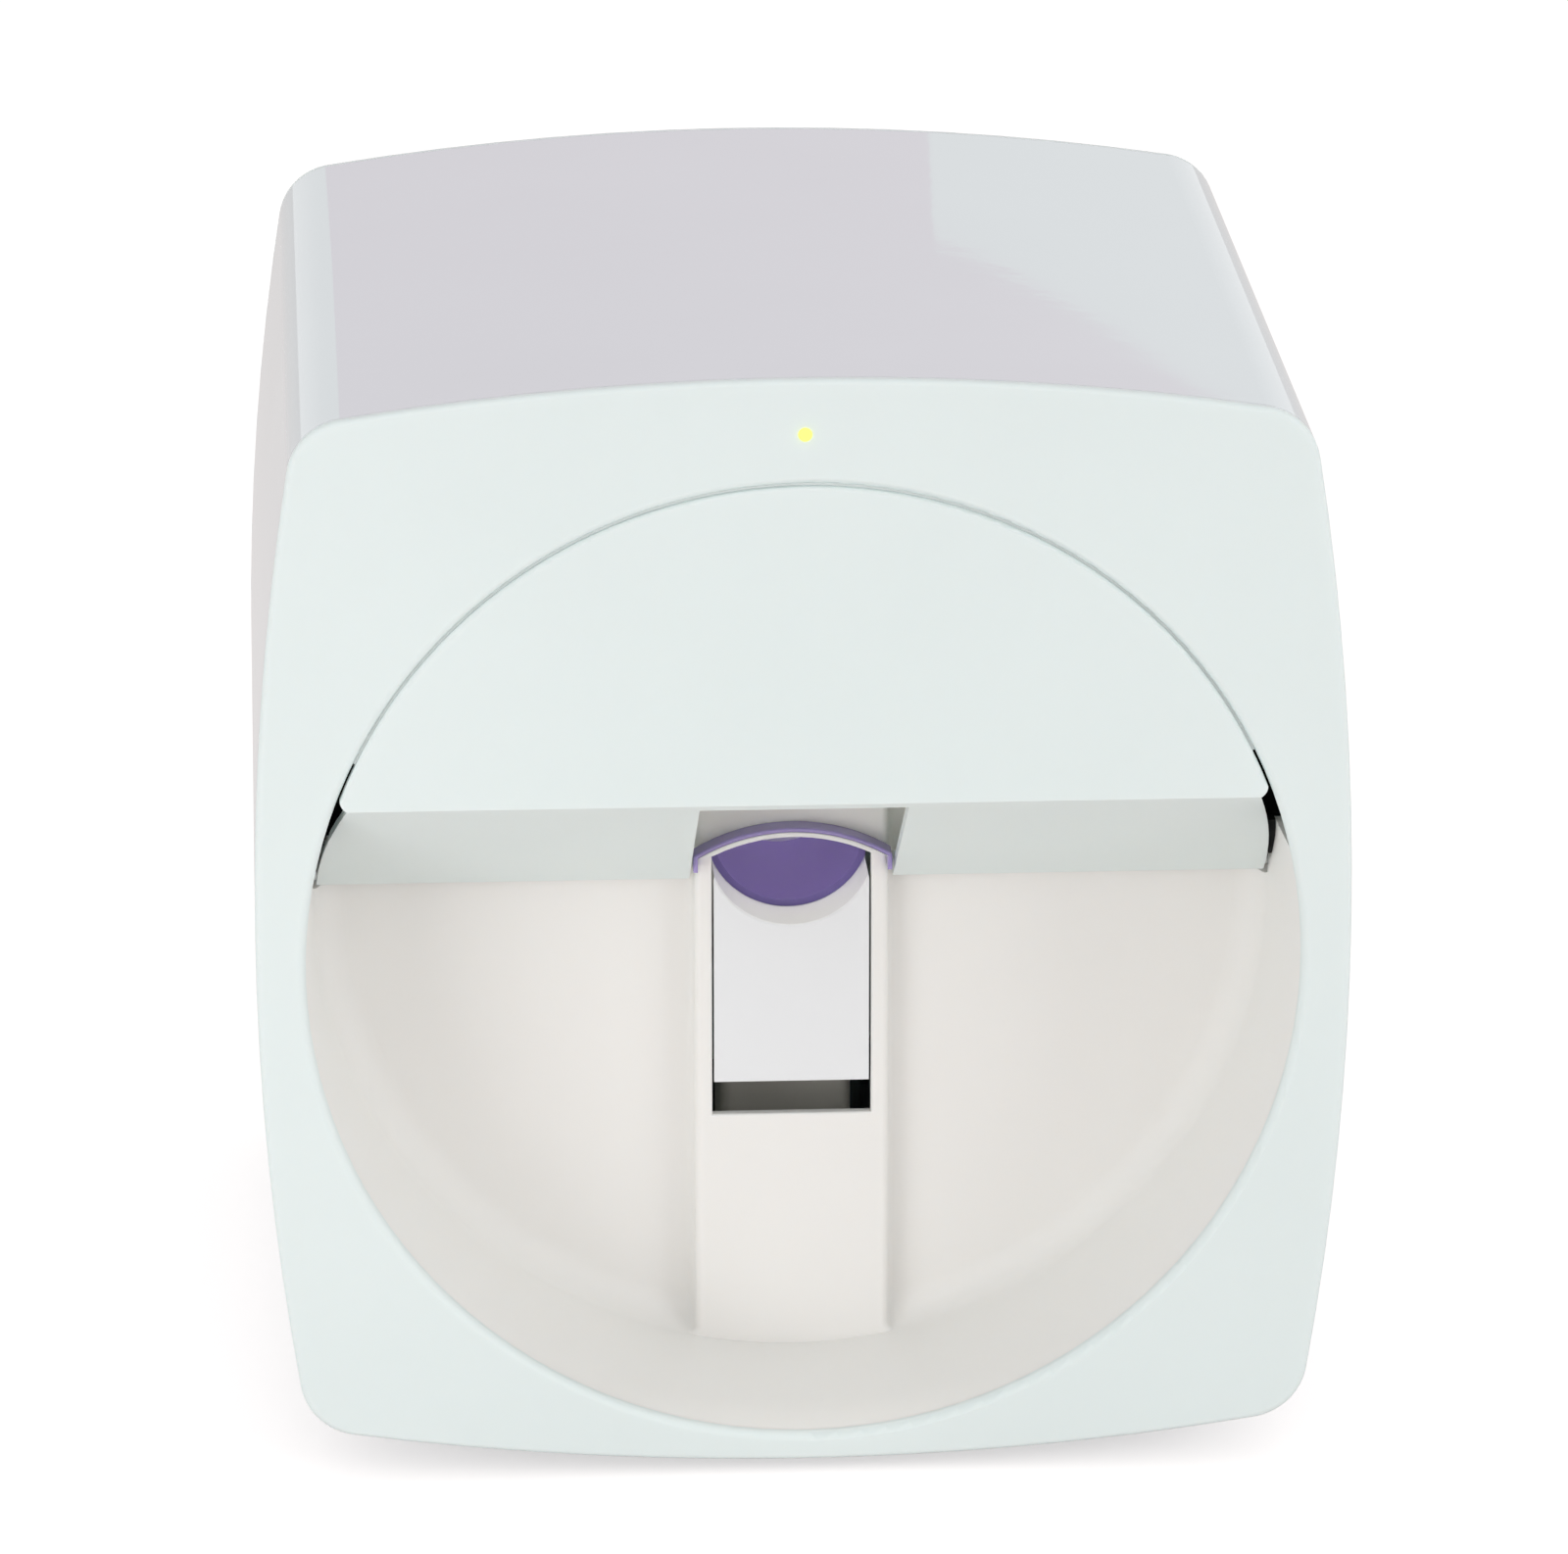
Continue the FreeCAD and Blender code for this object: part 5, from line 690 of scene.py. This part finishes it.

# %% [markdown]
# ## The spring under the finger tray
# The tray is held up by a compression spring and sinks a few millimetres when a finger presses on
# it. A spring is a helix with a round wire swept along it, so the thread's recipe serves again,
# with a finer wire section.

# %% A tree for a coil spring
tree, entry = new_tree("coil_spring", {
    "Coil Radius": 0.0054, "Wire Radius": 0.00055, "Height": 0.0289, "Turns": 5.25,
    "Place": (0, 0, 0)})
climb = helix(tree, 40, entry["Turns"], entry["Coil Radius"], entry["Height"])
coil = moved(tree, swept(tree, climb, 14, entry["Wire Radius"]), Translation=entry["Place"])
close_tree(tree, coil, entry["Finish"])
spring = grow("tray_spring_coil", tree, "housing", "steel", Place=(0, -0.0215, 0.01855),
              Finish=spring_wire)
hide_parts("tray_spring")
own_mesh(spring)

# %% [markdown]
# ## Lamps round the camera
# The camera looks down at the nail through a ring of eight small lamps. Each is a white package
# with a square of yellow phosphor in its face, which is what glows. The squares stand on a circle,
# so a Mesh Circle gives the points and the tree puts one square on each.

# %% A tree for squares on a circle
tree, entry = new_tree("squares_on_a_circle", {
    "Count": 8, "Radius": 0.0125, "Side": 0.0020, "Thickness": 0.00012})
square = block(tree, vector(tree, X=entry["Side"], Y=entry["Side"], Z=entry["Thickness"]))
ring = on_points(tree, circle_of_points(tree, entry["Count"], entry["Radius"]), square)
close_tree(tree, on_points(tree, entry["Geometry"], ring), entry["Finish"])
grow("ring_light_phosphor", tree, "housing", "lamp_white", [(0, -12, 177.8)], Finish=phosphor)

# %% [markdown]
# ## Contacts of the power inlet
# A barrel inlet is a black nylon block with two sprung metal contacts: a sleeve that lines the bore
# and a pin in its middle. Both are nickel-plated, so they are the only bright thing in the dark
# hole. They are turned shapes, and their lines are given as radius and place along the bore, in
# millimetres.

# %% Sleeve and pin
INLET_PLACE, BORE_FLOOR, BORE_MOUTH = (-42.0, 0, 27.0), 84.7, 94.2
SLEEVE_BORE, SLEEVE_OUT, PIN, PIN_TIP = 2.85, 3.19, 1.12, 0.75
CONTACTS = {
    "inlet_sleeve": [
        (SLEEVE_BORE, BORE_FLOOR), (SLEEVE_BORE, BORE_MOUTH - 0.4), (3.0, BORE_MOUTH),
        (SLEEVE_OUT, BORE_MOUTH), (SLEEVE_OUT, BORE_FLOOR), (SLEEVE_BORE, BORE_FLOOR)],
    "inlet_pin_cap": [
        (0, BORE_FLOOR), (PIN, BORE_FLOOR), (PIN, BORE_MOUTH - 0.9),
        (PIN_TIP, BORE_MOUTH - 0.4), (0, BORE_MOUTH - 0.3)]}
for name, line in CONTACTS.items():
    turned_piece(name, line, "housing", nickel, INLET_PLACE, steps=40)
print(len(CONTACTS), "inlet contacts turned")

# %% [markdown]
# ## Painted light in the groove round the cover
# The groove between this cover and the opening falls into shade. A thin pale bead sits in it as
# painted light, so the groove shows as a soft grey line and not as a black one. The bead is a round
# cord bent along the opening's arc, from one end of the cover over the top to the other, so a tree
# sweeps a small circle along an arc.

# %% A tree for a bead along an arc
tree, entry = new_tree("bead_on_an_arc", {
    "Arc Radius": 0.0861, "Bead Radius": 0.00042, "Start": 0.45, "Sweep": 2.24,
    "Place": (0, 0, 0)})
arc = out(tree, "GeometryNodeCurveArc", {
    "Resolution": 160, "Radius": entry["Arc Radius"], "Start Angle": entry["Start"],
    "Sweep Angle": entry["Sweep"]}, mode="RADIUS")
upright = moved(tree, swept(tree, arc, 10, entry["Bead Radius"]),
                Translation=entry["Place"], Rotation=FORWARDS)
close_tree(tree, upright, entry["Finish"])
# The pale bead is painted light in the shaded groove.
grow("cover_bead", tree, "housing", "foot_rubber", Place=(0, -0.0933, 0.0932), Finish=painted_light_pale)

# %% [markdown]
# ## Painted shade behind the ends of the cover
# The cover needs a little air at each side to swing. The gap there falls into deep shade, and a
# near-black strip behind it is painted shade, so the gap looks like a crisp black line. The strip
# lies on the bowl: its lower part lies along the wall beside the sloping end of the cover, and its
# upper part stands on the bowl's rim behind it. Each row below is one level of the strip: height,
# inner and outer x, front and back y, all in millimetres.

# %% Painted shade strips
PAINTED_SHADE_LEVELS = [
    (101.0, 84.10, 85.2, -59.0, -53.0), (104.0, 83.75, 84.9, -63.6, -57.0),
    (106.0, 83.46, 84.6, -66.6, -60.0), (108.0, 83.13, 84.3, -69.6, -63.0),
    (110.0, 82.72, 84.0, -72.7, -66.0), (112.45, 82.20, 83.6, -75.9, -69.0),
    (112.55, 77.50, 91.0, -72.0, -68.0), (124.0, 77.50, 91.0, -72.0, -68.0)]


def painted_shade_strip(name, side):
    """A stack of four-cornered levels joined into one closed strip of painted shade; side is -1 or
    1.
    """
    corners = [(side * x / 1000, y / 1000, z / 1000) for z, inner, outer, front, rear in PAINTED_SHADE_LEVELS
               for x, y in ((inner, front), (outer, front), (outer, rear), (inner, rear))]
    faces = [(3, 2, 1, 0), tuple(range(len(corners) - 4, len(corners)))]
    faces += [(a + k, a + (k + 1) % 4, a + 4 + (k + 1) % 4, a + 4 + k)
              for a in range(0, len(corners) - 4, 4) for k in range(4)]
    mesh = bpy.data.meshes.new(name)
    mesh.from_pydata(corners, [], faces if side > 0 else [face[::-1] for face in faces])
    mesh.materials.append(painted_shade_finish)
    plain_piece(name, mesh, "housing")


# Both strips are painted shade in the gaps beside the cover.
painted_shade_strip("seal_felt_left", -1)
painted_shade_strip("seal_felt_right", 1)
print("two felt strips,", len(PAINTED_SHADE_LEVELS), "levels each")

# %% [markdown]
# ## What sits on the control board
# Chips stand on rows of tinned leads, so a tree lays one row and turns it to all four sides. The
# open end of the board is sprinkled with small resistors: points are scattered over it with a least
# distance and a fixed seed, and a part goes on each, turned by a quarter at random. The same tree
# and seed run twice, once for the ceramic bodies and once for their tinned ends.

# %% A tree for the leads of a chip
BOARD_TOP, QUARTER = 23.6, math.pi / 2
PROCESSOR, DRIVERS = [(-49, -1, BOARD_TOP)], [(-32.5, -6.5, BOARD_TOP), (-32.5, 5.5, BOARD_TOP)]
tree, entry = new_tree("leads_round_a_chip", {
    "Per Side": 12, "Pitch": 0.001, "Half": 0.007, "Lead Size": (0.0012, 0.0004, 0.0003),
    "Lead Out": 0.0005, "Lead Up": 0.00016})
first = vector(tree, X=calc(tree, "ADD", entry["Half"], entry["Lead Out"]),
               Y=centred(tree, entry["Per Side"], entry["Pitch"]), Z=entry["Lead Up"])
line = line_of_points(tree, entry["Per Side"], vector(tree, Y=entry["Pitch"]), first)
row = on_points(tree, line, block(tree, entry["Lead Size"]))
sides = [moved(tree, row, Rotation=(0, 0, k * QUARTER)) for k in range(4)]
close_tree(tree, on_points(tree, entry["Geometry"], join(tree, *sides)), entry["Finish"])
grow("processor_leads", tree, "housing", "steel", PROCESSOR, Finish=screw_steel)
grow("driver_leads", tree, "housing", "steel", DRIVERS, Per_Side=6, Half=0.0035,
     Finish=screw_steel)

# %% A tree for small parts scattered on the board
tree, entry = new_tree("scattered_small_parts", {
    "Width": 0.034, "Depth": 0.014, "Place": (-0.041, -0.0205, 0.02386),
    "Least Distance": 0.0024, "Density": 200000.0, "Seed": 7, "Count": 1, "Pitch": 0.0014,
    "Size": (0.0012, 0.0008, 0.0005)})
patch = out(tree, "GeometryNodeMeshGrid", {"Size X": entry["Width"], "Size Y": entry["Depth"]})
spots = out(tree, "GeometryNodeDistributePointsOnFaces", {
    "Mesh": moved(tree, patch, Translation=entry["Place"]),
    "Distance Min": entry["Least Distance"], "Density Max": entry["Density"],
    "Seed": entry["Seed"]}, distribute_method="POISSON")
pair = line_of_points(tree, entry["Count"], vector(tree, X=entry["Pitch"]),
                      vector(tree, X=centred(tree, entry["Count"], entry["Pitch"])))
part = on_points(tree, pair, block(tree, entry["Size"]))
turn = calc(tree, "MULTIPLY", chance(tree, "INT", 0, 1, entry["Seed"]), QUARTER)
laid = on_points(tree, spots, part, Rotation=about_z(tree, turn))
close_tree(tree, laid, entry["Finish"])
grow("resistor_bodies", tree, "housing", "component", Finish=component_black)
grow("resistor_ends", tree, "housing", "steel", Count=2, Size=(0.0003, 0.00084, 0.00052),
     Finish=screw_steel)

# %% Tops of the capacitors
CAN_TOP = [(0, 34.75), (3.1, 34.75), (3.4, 34.95), (3.75, 34.85), (4.05, 34.4), (4.05, 33.2),
           (3.9, 33.0), (0, 33.0)]
for name, y in (("capacitor_top_front", 18), ("capacitor_top_rear", 28)):
    turned_piece(name, CAN_TOP, "housing", alloy, (-28, y, 0), ALONG_Z)
print("board dressed")

# %% [markdown]
# ## Dressing the solids
# A solid whose shape is right already only needs its finish. Each finish is given its list of
# solids; the meshes themselves are left alone.

# %% Give every solid its finish
DRESS = {
    gloss_abs: ["outer_shell"],
    satin_abs: ["front_bezel", "front_cover", "rear_cover", "power_button"],
    bowl_abs: ["hand_bowl"],
    tray_abs: ["finger_tray"],
    guard_violet: ["finger_hood"],
    silicone: ["finger_pad"],
    light_tip: ["indicator_lens"],
    foot_rubber: ["rubber_feet"],
    belt_rubber: ["cross_belt"],
    chassis_abs: ["base_chassis", "battery_holder"],
    acetal_black: ["stage_block_left", "stage_block_right", "carriage"],
    acetal_natural: ["tray_guide", "cartridge_latch"],
    cartridge_pp: ["ink_cartridge"],
    component_black: ["board_parts", "dc_inlet", "power_switch", "camera_module"],
    cell_sleeve: ["battery_cells"],
    motor_enamel: ["y_motor", "x_motor"],
    circuit_board: ["main_board", "indicator_board", "ring_light"],
    lens_glass: ["camera_lens"],
    ground_steel: ["hinge_pins", "cross_rod_lower", "cross_rod_upper", "latch_pin"],
    ground_steel_y: ["guide_rod_left", "guide_rod_right", "lead_screw", "idler_pin"],
    zinc_sheet: ["frame_left", "frame_right", "camera_bracket", "wireless_card"],
    bronze: ["screw_bearing", "rod_bushes", "lead_nut", "cross_bushes"],
    alloy: ["drive_pulley", "idler_pulley"],
    nickel: ["catch_magnets", "cover_magnets", "tray_spring"],
    gilt: ["nozzle_plate", "cartridge_contacts"],
    screw_steel: ["rear_screws", "bowl_screws", "chassis_screws", "frame_screws"],
}
for finish, names in DRESS.items():
    for name in names:
        slots = NODES[name].data.materials
        slots.clear()
        slots.append(finish)
dressed = sorted(name for names in DRESS.values() for name in names)
print(len(dressed), "solids dressed, left out:", sorted(set(NODES) - set(dressed)))

# %% [markdown]
# ## The studio
# Catalogue pictures of white goods are lit from nearly everywhere, so that form is drawn by faint
# shade and not by hard shadows. The room itself is the main light. The camera, and anything that
# mirrors or looks through, sees a pure white room, while the diffuse light of the same room is kept
# lower, so the white plastic still has room to get brighter.

# %% The white room
ROOM_LIGHT, WHITE = 0.68, (1, 1, 1, 1)      # strength of the room as a light; the camera sees 1


def seen_by(tree, camera=1.0, mirror=1.0):
    """How strongly something glows: one strength for the camera, one for mirrors and glass."""
    rays = add_node(tree, "ShaderNodeLightPath").outputs
    other = calc(tree, "ADD", rays["Is Glossy Ray"], rays["Is Transmission Ray"])
    other = calc(tree, "MINIMUM", other, 1.0)
    return calc(tree, "ADD", calc(tree, "MULTIPLY", rays["Is Camera Ray"], camera),
                calc(tree, "MULTIPLY", other, mirror))


world = bpy.data.worlds.new("white_room")
bpy.context.scene.world = world
tree = empty_tree(world)
strength = add_node(tree, "ShaderNodeMapRange", {
    "Value": seen_by(tree), "To Min": ROOM_LIGHT, "To Max": 1.0}).outputs["Result"]
room = out(tree, "ShaderNodeBackground", {"Color": WHITE, "Strength": strength})
add_node(tree, "ShaderNodeOutputWorld", {"Surface": room})
print("room light", ROOM_LIGHT)

# %% [markdown]
# ## Paper floor and lilac card
# The floor is matt white paper. It glows only as much as it needs to come out white where it is
# fully lit, so the faint shadow under the machine stays. A gloss white surface has no look of its
# own: it shows what stands round it. Behind the machine a lilac card fills the room, with an
# opening at the right for the window, so the top is lilac with one cool, clear patch.

# %% Floor and card
def flat_sheet(name, corners, finish):
    """A flat stage sheet from its corners, four for each face, in metres."""
    sheet = bpy.data.meshes.new(name)
    sheet.from_pydata(corners, [], [tuple(range(i, i + 4)) for i in range(0, len(corners), 4)])
    sheet.materials.append(finish)
    made = bpy.data.objects.new(name, sheet)
    bpy.context.scene.collection.objects.link(made)
    return made


FLOOR_HALF, FLOOR_LEVEL = 6.0, -0.0002
PAPER_GLOW, PAPER_MIRRORED = 0.5, 0.15
paper = bpy.data.materials.new("white_paper")
tree = empty_tree(paper)
dull = out(tree, "ShaderNodeBsdfDiffuse", {"Color": linear("#E9E4E3")})
glow = out(tree, "ShaderNodeEmission", {"Strength": seen_by(tree, PAPER_GLOW, PAPER_MIRRORED)})
add_node(tree, "ShaderNodeOutputMaterial", {
    "Surface": out(tree, "ShaderNodeAddShader", {0: dull, 1: glow})})
flat_sheet("floor", [(x * FLOOR_HALF, y * FLOOR_HALF, FLOOR_LEVEL)
                     for x, y in ((-1, -1), (1, -1), (1, 1), (-1, 1))], paper)

CARD_COLOUR = (0.90, 0.76, 0.83, 1)
CARD_Y, CARD_LEFT, CARD_FOOT, CARD_FAR = 1.6, -0.24, 0.1, 2.4
WINDOW_LEFT, WINDOW_TOP, WINDOW_RISE = 0.186, 0.574, 0.06
lilac = bpy.data.materials.new("lilac_card")
tree = empty_tree(lilac)
add_node(tree, "ShaderNodeOutputMaterial", {
    "Surface": out(tree, "ShaderNodeEmission", {"Color": CARD_COLOUR})})
card = flat_sheet("lilac_card", [(x, CARD_Y, z) for x, z in (
    (CARD_LEFT, CARD_FOOT), (WINDOW_LEFT, CARD_FOOT), (WINDOW_LEFT, CARD_FAR),
    (CARD_LEFT, CARD_FAR),
    (WINDOW_LEFT, WINDOW_TOP), (CARD_FAR, WINDOW_TOP + WINDOW_RISE), (CARD_FAR, CARD_FAR),
    (WINDOW_LEFT, CARD_FAR))], lilac)
for rays in ("camera", "diffuse", "transmission", "shadow", "volume_scatter"):
    setattr(card, "visible_" + rays, False)
print("floor and card stand")

# %% [markdown]
# ## Soft lamps
# Five lamps shape the white room. The key and a small low panel stand on the left, so the front is
# brightest at its lower left. The side panel skims past the front and opens the shade in the bowl,
# and a warm bounce near the table throws a little light up, as pale skin and wood near a machine
# do. The last is the faint glow that the ring light spreads over the finger.

# %% Lamps
def panel(name, place, aim, size, watts, colour="#FFFFFF"):
    """A soft rectangular lamp at a place that looks at a point; sizes in metres."""
    lamp = bpy.data.lights.new(name, "AREA")
    lamp.shape, lamp.size, lamp.size_y = "RECTANGLE", *size
    lamp.energy = watts
    lamp.color = linear(colour)[:3]
    made = bpy.data.objects.new(name, lamp)
    made.location = place
    made.rotation_euler = (Vector(aim) - Vector(place)).to_track_quat("-Z", "Y").to_euler()
    made.visible_glossy = False         # its mirror image would burn out the gloss shell
    bpy.context.scene.collection.objects.link(made)


MIDDLE = (0, -0.05, 0.1)
panel("key_panel", (-1.3, -1.5, 0.35), MIDDLE, (1.2, 1.0), 5.6)
panel("side_panel", (1.2, -0.9, 0.5), MIDDLE, (0.8, 0.8), 4.8)
panel("low_panel", (-0.35, -0.45, 0.03), (-0.06, -0.095, 0.03), (0.2, 0.16), 0.42)
panel("warm_bounce", (0.0, -0.7, 0.03), (0, -0.05, 0.12), (1.0, 0.25), 0.22, "#FFCFC4")
panel("ring_glow", (0, -0.014, 0.1685), (0, -0.03, 0.09), (0.02, 0.02), 0.045, "#FFF8EE")

# %% [markdown]
# ## Looks the same on every screen
# The view transform is Standard, so a colour on screen is the colour that was written.

# %% Close
bpy.context.scene.view_settings.view_transform = "Standard"
